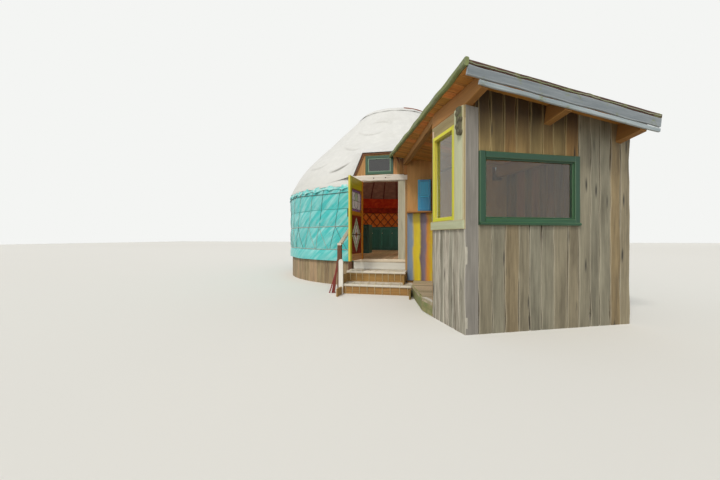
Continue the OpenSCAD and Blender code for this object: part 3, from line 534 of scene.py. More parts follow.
# Wall cover
# One long turquoise canvas is drawn round the lattice. Three ropes and the cords laced
# between them press it in, and it swells and creases in the spaces that they leave.
WALL_R = 3.2
ROPES = (0.813, 1.342, 1.746)
WALL_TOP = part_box("wall_cover_left")[1].z
WALL_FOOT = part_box("wall_cover_left")[0].z
JAMB_TURN = math.radians(10.3)
CORD_STEP = 0.47
wall_len = WALL_R * (2 * math.pi - 2 * JAMB_TURN)


def swell(u, z):
    """How far the canvas stands out at u metres from the left jamb and at the height z."""
    stops = (WALL_FOOT - 0.1,) + ROPES + (WALL_TOP,)
    k = max(i for i in range(4) if z >= stops[i] or i == 0)
    up = (z - stops[k]) / (stops[k + 1] - stops[k])
    side = (u / CORD_STEP + (0.5 if k == 1 else 0.0)) % 1.0
    puff = 0.020 * sag(up) ** 0.8 * (0.45 + 0.55 * sag(side))
    if k == 0:
        puff = 0.014 + 0.010 * sag(min(1.0, up * 1.2)) if z < ROPES[0] - 0.05 else puff
    lean = z + 0.85 * u + 0.10 * noise.noise(Vector((u * 2.2, z * 2.2, 1.0)))
    ridge = 1.0 - abs(math.sin(lean * 19.0)) ** 0.6
    crimp = 1.0 - abs(math.sin(lean * 43.0 + 2.0 * noise.noise(Vector((u * 1.5, z * 2.0, 5.0))))) ** 0.7
    strong = 0.45 + 0.75 * noise.noise(Vector((u * 1.1, z * 1.7, 7.0)))
    folds = (0.017 * ridge * strong + 0.007 * crimp * (1.0 - strong)) * sag(up) ** 0.6
    near = min(
        (math.hypot((side if side < 0.5 else side - 1.0) * CORD_STEP, z - rope), rope) for rope in ROPES
    )
    star = math.atan2(z - near[1], (side if side < 0.5 else side - 1.0) * CORD_STEP + 1e-6)
    folds += (
        0.007 * math.exp(-near[0] / 0.16) * math.sin(star * 7.0 + math.floor(u / CORD_STEP) * 2.1)
        * min(1.0, near[0] / 0.03)
    )
    if k == 0:
        folds *= 0.35
    crumple = 0.003 * noise.noise(Vector((u * 9.0, z * 9.0, 3.0)))
    return puff + folds + crumple


def wall_place(u, z, off=0.0):
    """The point of the canvas u metres round from the left jamb at the height z, off metres outside it."""
    turn = -math.pi / 2 - JAMB_TURN - u / WALL_R
    low = 0.012 * noise.noise(Vector((u * 1.4, 0.0, 2.0))) if z < WALL_FOOT + 0.001 else 0.0
    r = WALL_R + swell(u, z) + off
    return (r * math.cos(turn), r * math.sin(turn), z + low)


turquoise = cloth(
    "turquoise_canvas", "#48C4C2", "#C6F0EE", "#22A09F", weave=0.0016, rough=0.38, crinkle=0.006, sheen=0.1,
    low=(WALL_FOOT, WALL_FOOT + 0.25, "#8FE0DB", 0.5), painted_highlight_share=0.6, drag=-0.705,
)
wall_columns = spread(0.0, 4.6, 0.02) + spread(4.6, wall_len, 0.06)[1:]
wall_canvas = sheet(
    "wall_canvas", wall_columns, spread(WALL_FOOT, WALL_TOP, 0.022), wall_place, lambda u, z: (u, z),
    turquoise, "house",
    ("wall_cover_left", "wall_cover_back_left", "wall_cover_back_right", "wall_cover_right"),
)
LINING_IN, LINING_UP = 0.018, 0.075


def lining_place(u, z):
    """The point of the lining u metres round from the left jamb at the height z."""
    turn = -math.pi / 2 - JAMB_TURN - u / WALL_R
    r = WALL_R - LINING_IN
    return (r * math.cos(turn), r * math.sin(turn), z)


# The lining's strong orange partly stands in for warm lamplight inside: painted light.
felt = cloth("wall_lining", "#E8803A", "#F6A04E", "#B04E22", weave=0.003, rough=0.9)
wall_lining = sheet(
    "wall_lining", spread(0.0, wall_len, 0.12), spread(WALL_FOOT + LINING_UP, WALL_TOP, 0.2),
    lining_place, lambda u, z: (u, z), felt, "house",
)
VALANCE_DROP = 0.17
SCALLOP = 0.36
mint = cloth("valance_canvas", "#62CDCA", "#DDF5F3", "#2FA3A0", weave=0.0016, rough=0.42, crinkle=0.004)
valance = sheet(
    "wall_valance", wall_columns, spread(0.0, 1.0, 0.125),
    lambda u, t: wall_place(
        u, WALL_TOP - t * VALANCE_DROP * (0.85 + 0.5 * noise.noise(Vector((u * 2.3, 0.0, 8.0))))
        * (1.0 - 0.38 * abs(math.sin(math.pi * (u + 0.09 * math.sin(u * 3.1)) / SCALLOP)) ** 0.7),
        0.012 + 0.024 * t * (0.5 + 0.5 * math.cos(2 * math.pi * (u + 0.09 * math.sin(u * 3.1)) / SCALLOP))
        + 0.009 * (math.sin(u * 31.0) + noise.noise(Vector((u * 14.0, t, 3.0)))) * t,
    ),
    lambda u, t: (u, t * VALANCE_DROP), mint, "house",
)


def rope(path, radius, sides=6):
    """A round cord along the points of path, its own places running along it."""
    points, lie, faces = [], [], []
    run = 0.0
    for i, p in enumerate(path):
        p = Vector(p)
        ahead = (Vector(path[min(i + 1, len(path) - 1)]) - Vector(path[max(i - 1, 0)])).normalized()
        side = ahead.cross(
            Vector((0.31, 0.17, 0.93)) if abs(ahead.z) < 0.8 else Vector((0.9, 0.4, 0.1))
        ).normalized()
        other = ahead.cross(side)
        run += (p - Vector(path[i - 1])).length if i else 0.0
        for k in range(sides):
            a = 2 * math.pi * k / sides
            points.append(p + radius * (math.cos(a) * side + math.sin(a) * other))
            lie.append(Vector((run, a * radius, 0.0)))
        if i:
            for k in range(sides):
                a, b = (i - 1) * sides + k, (i - 1) * sides + (k + 1) % sides
                faces.append((a, b, b + sides, a + sides))
    faces.append(tuple(reversed(range(sides))))
    faces.append(tuple(len(points) - sides + k for k in range(sides)))
    return points, faces, lie, [0.5] * len(points), [0.0] * len(points)


def twisted(name, colour, dark):
    """Twisted rope: slanting strands with dark between them."""
    made, tree = bare(name)
    place = put(tree, "ShaderNodeAttribute", attribute_name="lie").outputs["Vector"]
    wave = put(
        tree, "ShaderNodeTexWave", {"Vector": place, "Scale": 28.0, "Distortion": 0.8},
        wave_type="BANDS", bands_direction="DIAGONAL",
    ).outputs["Fac"]
    grime = put(tree, "ShaderNodeTexNoise", {"Vector": place, "Scale": 5.0, "Detail": 4.0}).outputs["Fac"]
    shade = blend(tree, wave, paint(dark), paint(colour))
    shade = blend(
        tree, put(tree, "ShaderNodeMapRange", {"Value": grime, "To Max": 0.7}).outputs[0], shade,
        paint(dark),
    )
    bump = put(tree, "ShaderNodeBump", {"Height": wave, "Distance": 0.0015, "Strength": 0.8})
    skin = put(
        tree, "ShaderNodeBsdfPrincipled",
        {"Base Color": shade, "Roughness": 0.85, "IOR": 1.5, "Sheen Weight": 0.3, "Normal": bump.outputs[0]},
    )
    put(tree, "ShaderNodeOutputMaterial", {"Surface": skin.outputs[0]})
    return made


ROPE_STEP, FOLD_ROPE = 0.06, ROPES[2]
cords, drawn = [], []
for high in ROPES:
    line = [
        wall_place(u, high + 0.008 * noise.noise(Vector((u * 1.3, high, 0.0))), 0.005)
        for u in spread(0.0, wall_len, ROPE_STEP)
    ]
    (drawn if high == FOLD_ROPE else cords).append(rope(line, 0.006 if high == FOLD_ROPE else 0.008))
hem_line = [
    wall_place(u, WALL_TOP - VALANCE_DROP - 0.02 * math.sin(u * 2.1), 0.012)
    for u in spread(0.0, wall_len, ROPE_STEP)
]
laced = [rope(hem_line, 0.006)]
count = int(wall_len / CORD_STEP)
rng = random.Random(13)
for k in range(1, count + 1):
    u = k * CORD_STEP + rng.uniform(-0.05, 0.05)
    for low, high, start, end in (
        (ROPES[1], WALL_TOP - 0.05, rng.uniform(0.02, 0.08), rng.uniform(-0.16, -0.08)),
        (ROPES[0], ROPES[1], rng.uniform(0.3, 0.5) * CORD_STEP, 0.05),
        (ROPES[0], ROPES[1], rng.uniform(-0.55, -0.4) * CORD_STEP, 0.05),
    ):
        steps = spread(0.0, 1.0, 0.1)
        line = [(u + start + (end - start) * t, low + (high - low) * t) for t in steps]
        (laced if rng.random() < 0.6 else cords).append(
            rope([wall_place(min(max(p, 0.0), wall_len), z, 0.004) for p, z in line], 0.005)
        )
lacing = twisted("pale_rope", "#DAD6C8", "#7E7C72")
piece("wall_ropes_laced", cords, lacing, "house", ("wall_ropes",), smooth=True)
piece("wall_cords_dark", laced, twisted("dark_cord", "#77807A", "#2F3836"), "house", smooth=True)
piece(
    "wall_cord_under_folds", drawn, twisted("teal_cord", "#5CC4BE", "#2C9C97"), "house",
    smooth=True,
)

# Roof cover
# A pale canvas bends over the shoulder of the poles. It lies a little loose, and over the
# door a wide hood of the same cloth is drawn out to the head of the dormer.
EAVE_Z, SHOULDER, LEAN, PITCH, CROWN = 2.30, 2.89, math.radians(23), math.radians(44.5), 1.0
bend_r = WALL_R - SHOULDER * math.cos(LEAN)
bend_z = EAVE_Z - SHOULDER * math.sin(LEAN)
bend_end = math.pi / 2 - PITCH
bend_len = SHOULDER * (bend_end - LEAN)
top_r = bend_r + SHOULDER * math.cos(bend_end)
roof_len = bend_len + (top_r - CROWN) / math.cos(PITCH)


def roof_profile(up):
    """Radius, height and outward lean of the roof, up metres along it from the eave."""
    if up < bend_len:
        a = LEAN + up / SHOULDER
        return bend_r + SHOULDER * math.cos(a), bend_z + SHOULDER * math.sin(a), a
    past = up - bend_len
    high = bend_z + SHOULDER * math.sin(bend_end) + past * math.sin(PITCH)
    return top_r - past * math.cos(PITCH), high, bend_end


def roof_point(turn, up, off=0.0):
    """The point of the roof at an angle round it and up metres along it, off metres outside it."""
    r, z, a = roof_profile(up)
    r += off * math.cos(a)
    return Vector((r * math.cos(turn), r * math.sin(turn), z + off * math.sin(a)))


# Each long fold has three places of its line seen from the front, then how far it stands
# out, how wide it is and how dark the shade painted under it is.
CREASES = (
    ((-1.30, 2.650), (-0.985, 2.704), (-0.69, 2.850), 0.050, 0.045, 0.75),
    ((-0.80, 3.900), (-0.43, 3.724), (-0.07, 3.840), 0.034, 0.055, 0.30),
    ((-0.50, 4.140), (-0.18, 4.200), (0.10, 4.080), 0.030, 0.060, 0.22),
    ((-1.10, 3.440), (-0.80, 3.260), (-0.45, 3.330), 0.030, 0.070, 0.20),
    ((-2.05, 2.900), (-1.70, 2.860), (-1.35, 2.980), 0.022, 0.060, 0.18),
)


def creased(x, z):
    """How far a long fold stands out at a place seen from the front, and how deep the shade painted under it
    is.
    """
    lift, shade = 0.0, 0.0
    for (x0, z0), (x1, z1), (x2, z2), depth, wide, dark in CREASES:
        if x0 < x < x2:
            line = (
                z0 * (x - x1) * (x - x2) / ((x0 - x1) * (x0 - x2))
                + z1 * (x - x0) * (x - x2) / ((x1 - x0) * (x1 - x2))
            )
            line += z2 * (x - x0) * (x - x1) / ((x2 - x0) * (x2 - x1))
            side = (z - line) / wide
            strong = sag((x - x0) / (x2 - x0)) ** 0.7
            lift += depth * strong * max(0.0, 1.0 - side / 3.0 if side > 0 else 1.0 + side / 0.5)
            shade = max(shade, dark * strong * max(0.0, 1.0 - abs(side + 0.3) / 0.55))
    return lift, shade


def paint_fold_shade(thing):
    """Marks the painted shade under each fold on the points of a sheet."""
    marks = thing.data.attributes.new("painted_fold_shade", "FLOAT", "POINT")
    marks.data.foreach_set(
        "value", [creased(v.co.x, v.co.z)[1] if v.co.y < 0 else 0.0 for v in thing.data.vertices],
    )


def loose(turn, up):
    """How far the canvas lifts or sags off its poles."""
    x, y = turn * 3.0, up
    lift = 0.006 * noise.noise(Vector((x * 0.9, y * 2.3, 4.0)))
    wave = noise.noise(Vector((x * 0.55, y * 0.9, 11.0)))
    lift += 0.018 * math.sin(y * 7.5 + 4.0 * wave + x * 0.5) * max(0.0, wave + 0.1)
    lift += 0.004 * math.cos(turn * 36.0) * sag(up / roof_len)
    r, z = roof_profile(up)[:2]
    if math.sin(turn) < -0.3:
        lift += creased(r * math.cos(turn), z)[0]
    eave = max(0.0, 1.0 - up / 0.35)
    lift += 0.006 * eave * noise.noise(Vector((x * 4.0, 2.0, 6.0)))
    return max(lift, -0.006)


HEM = 0.055
white = cloth(
    "roof_canvas", "#DADAD7", "#E6E6E3", "#C6C5BF", weave=0.0014, rough=0.62, crinkle=0.0022, sheen=0.15,
    low=(EAVE_Z - 0.05, EAVE_Z + 0.35, "#BEBDB2", 0.5), painted_highlight_share=0.6,
)
GAP_HALF, GAP_LOW, GAP_HIGH, GAP_LEAN = 0.575, 2.44, 2.935, 0.424
DORMER = ((-GAP_HALF, GAP_LOW), (-0.365, GAP_HIGH), (0.365, GAP_HIGH), (GAP_HALF, GAP_LOW))
HOOD_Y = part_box("door_lintel")[0].y - 0.012


def in_dormer(x, z, grow=0.0):
    """True for a place, seen from the front, within the dormer's outline grown by grow."""
    half = GAP_HALF + grow - (z - GAP_LOW) * GAP_LEAN
    return EAVE_Z < z < GAP_HIGH + grow and abs(x) < half


def roof_place(turn, up):
    """The point of the canvas, which below the eave is its short hem."""
    if up < 0:
        t = -up / HEM
        r = WALL_R + 0.012 + 0.006 * math.sin(turn * 46.0) * t + 0.012 * t
        z = EAVE_Z - HEM * t * (0.8 + 0.2 * math.sin(turn * 23.0))
        return (r * math.cos(turn), r * math.sin(turn), z)
    return tuple(roof_point(turn, up, 0.004 + loose(turn, up) + 0.008 * max(0.0, 1.0 - up / 0.06)))


def under_hood(turn, up):
    """True for canvas that would close the dormer's opening."""
    p = roof_point(turn, max(up, 0.0))
    return p.y < 0 and (in_dormer(p.x, p.z, -0.01) or (abs(p.x) < 0.60 and p.z < 2.45))


door_turn = -math.pi / 2
roof_turns = [
    door_turn + a
    for a in spread(-math.pi, -1.4, 0.035) + spread(-1.4, 1.0, 0.0075)[1:] + spread(1.0, math.pi, 0.035)[1:]
]
roof_ups = [-HEM, -HEM * 0.6, -HEM * 0.25] + spread(0.0, roof_len - 0.02, 0.025)
roof_canvas = sheet(
    "roof_canvas", roof_turns, roof_ups, roof_place, lambda a, u: (a * 2.1, u), white, "house",
    ("roof_cover_front", "roof_cover_left", "roof_cover_back", "roof_cover_right"),
    skip=under_hood,
)
paint_fold_shade(roof_canvas)
roof_area = sum(
    2 * math.pi * roof_profile(u + 0.02)[0] * 0.04 for u in spread(0.0, roof_len - 0.04, 0.04)
)
lining_cloth = cloth("roof_lining", "#85645A", "#A07E70", "#664A3E", weave=0.003, rough=0.9)
roof_lining = sheet(
    "roof_lining", [door_turn + a for a in spread(-math.pi, math.pi, 0.05)],
    spread(0.06, roof_len - 0.04, 0.2), lambda a, u: tuple(roof_point(a, u, -0.018)),
    lambda a, u: (a * 2.1, u), lining_cloth, "house",
    skip=lambda a, u: under_hood(a, u) or under_hood(a, u - 0.1),
)


def along_line(stops, t):
    """The point at share t of the way along the line through stops."""
    runs = [(Vector(b) - Vector(a)).length for a, b in zip(stops, stops[1:])]
    left = t * sum(runs)
    for a, b, run in zip(stops, stops[1:], runs):
        if left <= run or b == stops[-1]:
            return Vector(a).lerp(Vector(b), min(1.0, left / run))
        left -= run


# Hood over the door
# The cloth of the roof is drawn forward to the dormer's edge. It leaves the roof along a
# curve on each side, and its own folds carry on those of the roof.
# Each stop is metres to the side and metres up along the roof from the eave.
LANDING = (
    (-1.38, 0.05), (-1.42, 0.35), (-1.12, 0.62), (-0.86, 1.05), (-0.45, 1.45), (0.0, 1.55),
    (0.45, 1.45), (0.86, 1.05), (1.12, 0.62), (1.42, 0.35), (1.38, 0.05),
)


def hood_place(s, t):
    """The hood from the dormer's edge, at t nought, back to where it lies on the roof, at t one."""
    edge = along_line(DORMER, s)
    start = Vector((edge.x, HOOD_Y, edge.y))
    x, up = along_line(LANDING, s)
    r = roof_profile(up)[0]
    end = roof_point(math.atan2(-math.sqrt(r * r - x * x), x), up, 0.008)
    ahead = roof_point(math.atan2(-math.sqrt(r * r - x * x), x), up + 0.3, 0.008)
    gap = (end - start).length
    leave = Vector(
        (
            0.55 * math.copysign(1, x) * min(1.0, abs(x) / 0.7), 0.75,
            0.12 + 0.25 * (1.0 - min(1.0, abs(x) / 0.9)),
        )
    ).normalized() * gap
    tangent = end - start
    normal = (ahead - end).cross(Vector((-end.y, end.x, 0.0))).normalized()
    arrive = (tangent - normal * tangent.dot(normal)).normalized() * gap * 0.9
    a, b, c, d = 2 * t**3 - 3 * t**2 + 1, t**3 - 2 * t**2 + t, -2 * t**3 + 3 * t**2, t**3 - t**2
    p = start * a + leave * b + end * c + arrive * d
    soft = (
        0.008 * noise.noise(Vector((s * 9.0, t * 2.0, 5.0))) * sag(t)
        + 0.010 * sag(t) * math.sin(s * 19.0 + t * 3.0) * noise.noise(Vector((s * 4.0, t, 2.0)))
    )
    soft += creased(p.x, p.z)[0] * min(1.0, t * 6.0)
    return tuple(p + Vector((0, -1, 0.4)).normalized() * soft)


hood = sheet(
    "dormer_hood_canvas", spread(0.0, 1.0, 0.006), spread(0.0, 1.0, 0.018), hood_place,
    lambda s, t: (s * 3.0 + 1.0, t), white, "house", ("dormer_hood",),
)
paint_fold_shade(hood)

# Crown cap, its rim and the red cloth
# A domed cap closes the crown over its ring. A thin painted edge shows under it on the
# front right, and a red cloth hangs under the poles at the back.
RIM = CROWN + 0.018
ring_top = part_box("crown_ring")[1].z
CAP_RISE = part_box("crown_cap")[1].z - ring_top - 0.014
dome = (RIM * RIM + CAP_RISE * CAP_RISE) / (2 * CAP_RISE)
CAP_SKIRT = 0.16


def cap_place(turn, out):
    """The cap from its middle, at out nought, over the rim at one and down its skirt."""
    fold = (
        0.004 * math.sin(turn * 18.0) * min(1.0, out) ** 3
        + 0.005 * noise.noise(Vector((math.cos(turn) * 2, math.sin(turn) * 2, out * 2)))
    )
    if out <= 1.0:
        r = RIM * out
        return (
            r * math.cos(turn), r * math.sin(turn),
            ring_top + 0.016 + CAP_RISE - dome + math.sqrt(dome * dome - r * r) + fold - 0.004,
        )
    down = (out - 1.0) * CAP_SKIRT / (1.0 - 0.55)
    up = roof_len - 0.02 - down
    return tuple(roof_point(turn, up, 0.016 + fold))


cap_outs = spread(0.02, 1.0, 0.07) + [1.012, 1.1, 1.25, 1.45]
cap = sheet(
    "crown_cap_canvas", spread(0.0, 2 * math.pi, 0.05), cap_outs, cap_place,
    lambda a, o: (a * 0.8, o * RIM), white, "house", ("crown_cap",),
)
RIM_OUT, RIM_UP, RIM_T = 0.012, 0.02, 0.020
rim_turns = spread(-1.22, -0.35, 0.05)
rim_arc = [
    ((RIM + RIM_OUT) * math.cos(a), (RIM + RIM_OUT) * math.sin(a), ring_top + RIM_UP) for a in rim_turns
]
rim_wood = timber("crown_rim_paint", "#A4502E", "#6E2F1C", "#B9744E", knots=0.0)
piece("crown_rim", [rope(rim_arc, RIM_T, sides=8)], rim_wood, "house", smooth=True)
BAND_WIDE, BAND_IN = 0.42, 0.085
red_cloth = cloth("red_roof_band", "#B5301A", "#D2552A", "#7E1E14", weave=0.004, rough=0.85)
roof_band = sheet(
    "roof_band_cloth", spread(0.15, math.pi - 0.15, 0.04), spread(0.0, BAND_WIDE, 0.06),
    lambda a, u: tuple(roof_point(a, u + 0.02, -BAND_IN + 0.006 * math.sin(a * 60.0))),
    lambda a, u: (a * 3.0, u), red_cloth, "house",
)

# Door frame
# Two jambs, a pale lintel with two bolts through it and a threshold over a white riser.
jamb = timber("jamb_timber", "#DAD5BE", "#9F987E", "#ECE8D8", blotch=0.4, knots=0.6, relief=0.0018)
pale_beam = timber("lintel_timber", "#EAE5DB", "#BDB2A2", "#F4F0E8", blotch=0.35, knots=0.5)
rng = random.Random(21)
jamb_low, jamb_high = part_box("door_jambs")
JAMB_W = 0.15
posts = []
for x in (jamb_low.x, jamb_high.x - JAMB_W):
    posts.append(
        board(
            (x, jamb_low.y, jamb_low.z), (0, 0, 1), (1, 0, 0),
            (jamb_high.z - jamb_low.z, JAMB_W, jamb_high.y - jamb_low.y), wane=0.006, bevel=0.006, rng=rng,
            step=0.15,
        )
    )
piece("door_jamb_timbers", posts, jamb, "house", ("door_jambs",))
beam_low, beam_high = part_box("door_lintel")
beam = board(
    (beam_low.x, beam_low.y, beam_high.z), (1, 0, 0), (0, 0, -1),
    (beam_high.x - beam_low.x, beam_high.z - beam_low.z, beam_high.y - beam_low.y), wane=0.010, bevel=0.010,
    rng=rng, step=0.12,
)
piece("door_lintel_beam", [beam], pale_beam, "house", ("door_lintel",))
sill_low, sill_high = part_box("door_threshold")
SILL_T, RISER_H = 0.06, 0.158
treadle = timber("threshold_boards", "#E4D5BC", "#AF946E", "#F0E6D2", blotch=0.45, knots=0.3, rough=0.55)
sill = board(
    (sill_low.x, sill_low.y, sill_high.z - SILL_T), (1, 0, 0), (0, 1, 0),
    (sill_high.x - sill_low.x, sill_high.y - sill_low.y, SILL_T), wane=0.004, bevel=0.010, rng=rng,
)
piece("door_sill", [sill], treadle, "house", ("door_threshold",))
white_wood = timber(
    "white_riser_paint", "#F6F4EC", "#E4DFD2", "#A08F74", blotch=0.6, knots=0.15, rough=0.5, wear=0.8,
)
riser = board(
    (sill_low.x, sill_low.y, sill_high.z - SILL_T - 0.002), (1, 0, 0), (0, 0, -1),
    (sill_high.x - sill_low.x, RISER_H, 0.025), wane=0.003, rng=rng,
)
piece("white_riser", [riser], white_wood, "house")


def metal(name, colour, rust="#5A3A26", rough=0.5):
    """Old iron with rust in patches."""
    made, tree = bare(name)
    where = put(tree, "ShaderNodeTexCoord").outputs["Object"]
    patch = put(
        tree, "ShaderNodeTexNoise", {"Vector": where, "Scale": 38.0, "Detail": 7.0, "Roughness": 0.65},
    ).outputs["Fac"]
    share = put(tree, "ShaderNodeMapRange", {"Value": patch, "From Min": 0.48, "From Max": 0.66}).outputs[0]
    shade = blend(tree, share, paint(colour), paint(rust))
    clean = put(tree, "ShaderNodeMapRange", {"Value": share, "To Min": 1.0, "To Max": 0.1}).outputs[0]
    bump = put(tree, "ShaderNodeBump", {"Height": patch, "Distance": 0.0008, "Strength": 0.7})
    shine = put(
        tree, "ShaderNodeMapRange", {"Value": share, "To Min": rough - 0.12, "To Max": rough + 0.3},
    ).outputs[0]
    iron = put(
        tree, "ShaderNodeBsdfPrincipled",
        {"Base Color": shade, "Metallic": clean, "Roughness": shine, "Normal": bump.outputs[0]},
    )
    put(tree, "ShaderNodeOutputMaterial", {"Surface": iron.outputs[0]})
    return made


def knob(middle, axis, radius, height, sides=14):
    """A turned head, such as a bolt's or a knob, as points, faces and what its material reads."""
    axis = Vector(axis).normalized()
    side = axis.orthogonal().normalized()
    other = axis.cross(side)
    points, faces = [], []
    rings = ((1.0, 0.0), (1.0, 0.45), (0.9, 0.75), (0.5, 1.0))
    for r, h in rings:
        for k in range(sides):
            a = 2 * math.pi * k / sides
            points.append(
                Vector(middle) + axis * h * height + radius * r * (math.cos(a) * side + math.sin(a) * other)
            )
    for j in range(len(rings) - 1):
        for k in range(sides):
            a, b = j * sides + k, j * sides + (k + 1) % sides
            faces.append((a, b, b + sides, a + sides))
    faces.append(tuple(range(len(points) - sides, len(points))))
    faces.append(tuple(reversed(range(sides))))
    return points, faces, [Vector(p) for p in points], [0.5] * len(points), [0.0] * len(points)


iron = metal("black_iron", "#2B2A2A")
bolts = [
    knob((x, beam_low.y + 0.004, 0.5 * (beam_low.z + beam_high.z)), (0, -1, 0), 0.014, 0.010, sides=6)
    for x in (-0.12, 0.14)
]
piece("lintel_bolts", bolts, iron, "house")
porch_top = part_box("porch_floor")[1].z
back_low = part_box("cabin_wall_back")[0]
strip = board(
    (jamb_high.x + 0.001, back_low.y - 0.004, porch_top), (0, 0, 1), (1, 0, 0),
    (beam_low.z - porch_top, back_low.x - jamb_high.x - 0.002, 0.02), wane=0.002, rng=rng,
)
piece(
    "jamb_side_board", [strip], timber("side_board", "#C79A63", "#8C6236", "#DDB98A", knots=0.4), "house",
)

# Door leaf
# The leaf hangs on two straps and stands open. Yellow stiles and rails hold a leaded pane
# above and a dark red panel below, with a tall leaded lozenge in it.
OPEN = math.radians(96.5)
HINGE = Vector((-0.4065, -3.264, 0.627))
leaf_x = Vector((math.cos(OPEN), -math.sin(OPEN), 0))
leaf_y = Vector((math.sin(OPEN), math.cos(OPEN), 0))
LEAF_W, LEAF_H, LEAF_T, LEAF_OUT = 0.806, 1.676, 0.044, 0.014
STILE, TOP_RAIL, MID_RAIL, MID_UP, FOOT_RAIL = 0.095, 0.23, 0.065, 0.92, 0.125
LOZENGE_W, LOZENGE_CLEAR = 0.275, 0.022


def leaf_at(x, y, z):
    """A point of the open leaf: x from its hinged edge, y in from its outer face, z up from its foot."""
    return HINGE + leaf_x * (0.0035 + x) + leaf_y * (LEAF_OUT + y) + Vector((0, 0, z))


yellow = timber(
    "yellow_paint", "#F0EC00", "#DAD600", "#D8C45A", knots=0.0, blotch=0.6, rough=0.38, relief=0.0005,
    wear=0.9,
)
# The orange on the hinge stile is painted shade on the yellow paint; the middle rail and the beads share this
# material.
orange_with_painted_shade = timber(
    "orange_paint_as_painted_shade", "#E9A520", "#C67A12", "#8A5A26", knots=0.1, blotch=0.6, rough=0.42, relief=0.0006,
    wear=0.9,
)
olive = timber(
    "olive_paint", "#DCCB12", "#B7A508", "#A08A48", knots=0.1, blotch=0.6, rough=0.42, relief=0.0006,
    wear=0.9,
)
tan = timber("bare_rail", "#C89A62", "#94673A", "#DDBB8A", knots=0.3, blotch=0.5, rough=0.5)
red = timber(
    "red_paint", "#8F1A14", "#5E0E0C", "#A6533A", knots=0.0, blotch=0.6, rough=0.4, relief=0.0005, wear=0.6,
)
rng = random.Random(31)
UP, DOWN = Vector((0, 0, 1)), Vector((0, 0, -1))
free = board(
    leaf_at(LEAF_W - STILE, 0, 0), UP, leaf_x, (LEAF_H, STILE, LEAF_T), wane=0.002, bevel=0.005, rng=rng,
)
piece("leaf_free_stile", [free], yellow, "door", ("door_leaf",))
held = board(leaf_at(0, 0, 0), UP, leaf_x, (LEAF_H, STILE, LEAF_T), wane=0.002, bevel=0.005, rng=rng)
piece("leaf_hinge_stile", [held], orange_with_painted_shade, "door")
rail_w = LEAF_W - 2 * STILE
for name, low, high, skin in (
    ("leaf_top_rail", LEAF_H - TOP_RAIL, LEAF_H, olive),
    ("leaf_middle_rail", MID_UP, MID_UP + MID_RAIL, orange_with_painted_shade),
    ("leaf_foot_rail", 0.0, FOOT_RAIL, tan),
):
    rail = board(
        leaf_at(STILE, 0.001, high), leaf_x, DOWN, (rail_w, high - low, LEAF_T - 0.002), wane=0.001,
        rng=rng,
    )
    piece(name, [rail], skin, "door")
BEAD_W, BEAD_T = 0.012, 0.010
beads = []
for low, high in ((FOOT_RAIL, MID_UP), (MID_UP + MID_RAIL, LEAF_H - TOP_RAIL)):
    for y in (0.006, LEAF_T - 0.016):
        for start, along, across, size in (
            (leaf_at(STILE, y, low), UP, leaf_x, high - low),
            (leaf_at(STILE + rail_w - BEAD_W, y, low), UP, leaf_x, high - low),
            (leaf_at(STILE, y, high), leaf_x, DOWN, rail_w),
            (leaf_at(STILE, y, low + BEAD_W), leaf_x, DOWN, rail_w),
        ):
            beads.append(board(start, along, across, (size, BEAD_W, BEAD_T), bevel=0.004, rng=rng, step=1.0))
piece("leaf_beads", beads, orange_with_painted_shade, "door")


def pane(name, colour, rough=0.03, clear=1.0):
    """Window glass, a little uneven, in the colour that it lets through."""
    made, tree = bare(name)
    where = put(tree, "ShaderNodeTexCoord").outputs["Object"]
    ripple = put(tree, "ShaderNodeTexNoise", {"Vector": where, "Scale": 9.0, "Detail": 2.0}).outputs["Fac"]
    dust = put(tree, "ShaderNodeTexNoise", {"Vector": where, "Scale": 30.0, "Detail": 6.0}).outputs["Fac"]
    bump = put(tree, "ShaderNodeBump", {"Height": ripple, "Distance": 0.0006, "Strength": 0.5})
    shine = put(
        tree, "ShaderNodeMapRange", {"Value": dust, "To Min": rough, "To Max": rough + 0.05},
    ).outputs[0]
    shade = blend(
        tree, dust, paint(colour), tuple(min(1.0, c * 1.15 + 0.02) for c in paint(colour)[:3]) + (1.0,),
    )
    body = put(
        tree, "ShaderNodeBsdfPrincipled",
        {
            "Base Color": shade, "Roughness": shine, "IOR": 1.52, "Transmission Weight": clear,
            "Normal": bump.outputs[0],
        },
    )
    put(tree, "ShaderNodeOutputMaterial", {"Surface": body.outputs[0]})
    return made


def slab(corners, depth):
    """A flat pane over four corners, depth thick, as points, faces and what its material reads."""
    a, b, d = Vector(corners[0]), Vector(corners[1]), Vector(corners[3])
    out = (b - a).cross(d - a).normalized() * depth / 2
    points = [Vector(p) - out for p in corners] + [Vector(p) + out for p in corners]
    faces = [(3, 2, 1, 0), (4, 5, 6, 7)] + [(k, (k + 1) % 4, 4 + (k + 1) % 4, 4 + k) for k in range(4)]
    return points, faces, list(points), [0.5] * 8, [0.0] * 8


def came(start, end, across, size=(0.009, 0.010)):
    """A lead bar between two points in the plane of the glass."""
    start, end = Vector(start), Vector(end)
    along = (end - start).normalized()
    side = Vector(across) - along * Vector(across).dot(along)
    side = along.cross(side).normalized()
    wide = side.cross(along)
    return board(
        start - wide * size[0] / 2 - along.cross(wide) * size[1] / 2, along, wide,
        ((end - start).length, size[0], size[1]), bevel=0.003, step=2.0, rng=rng,
    )


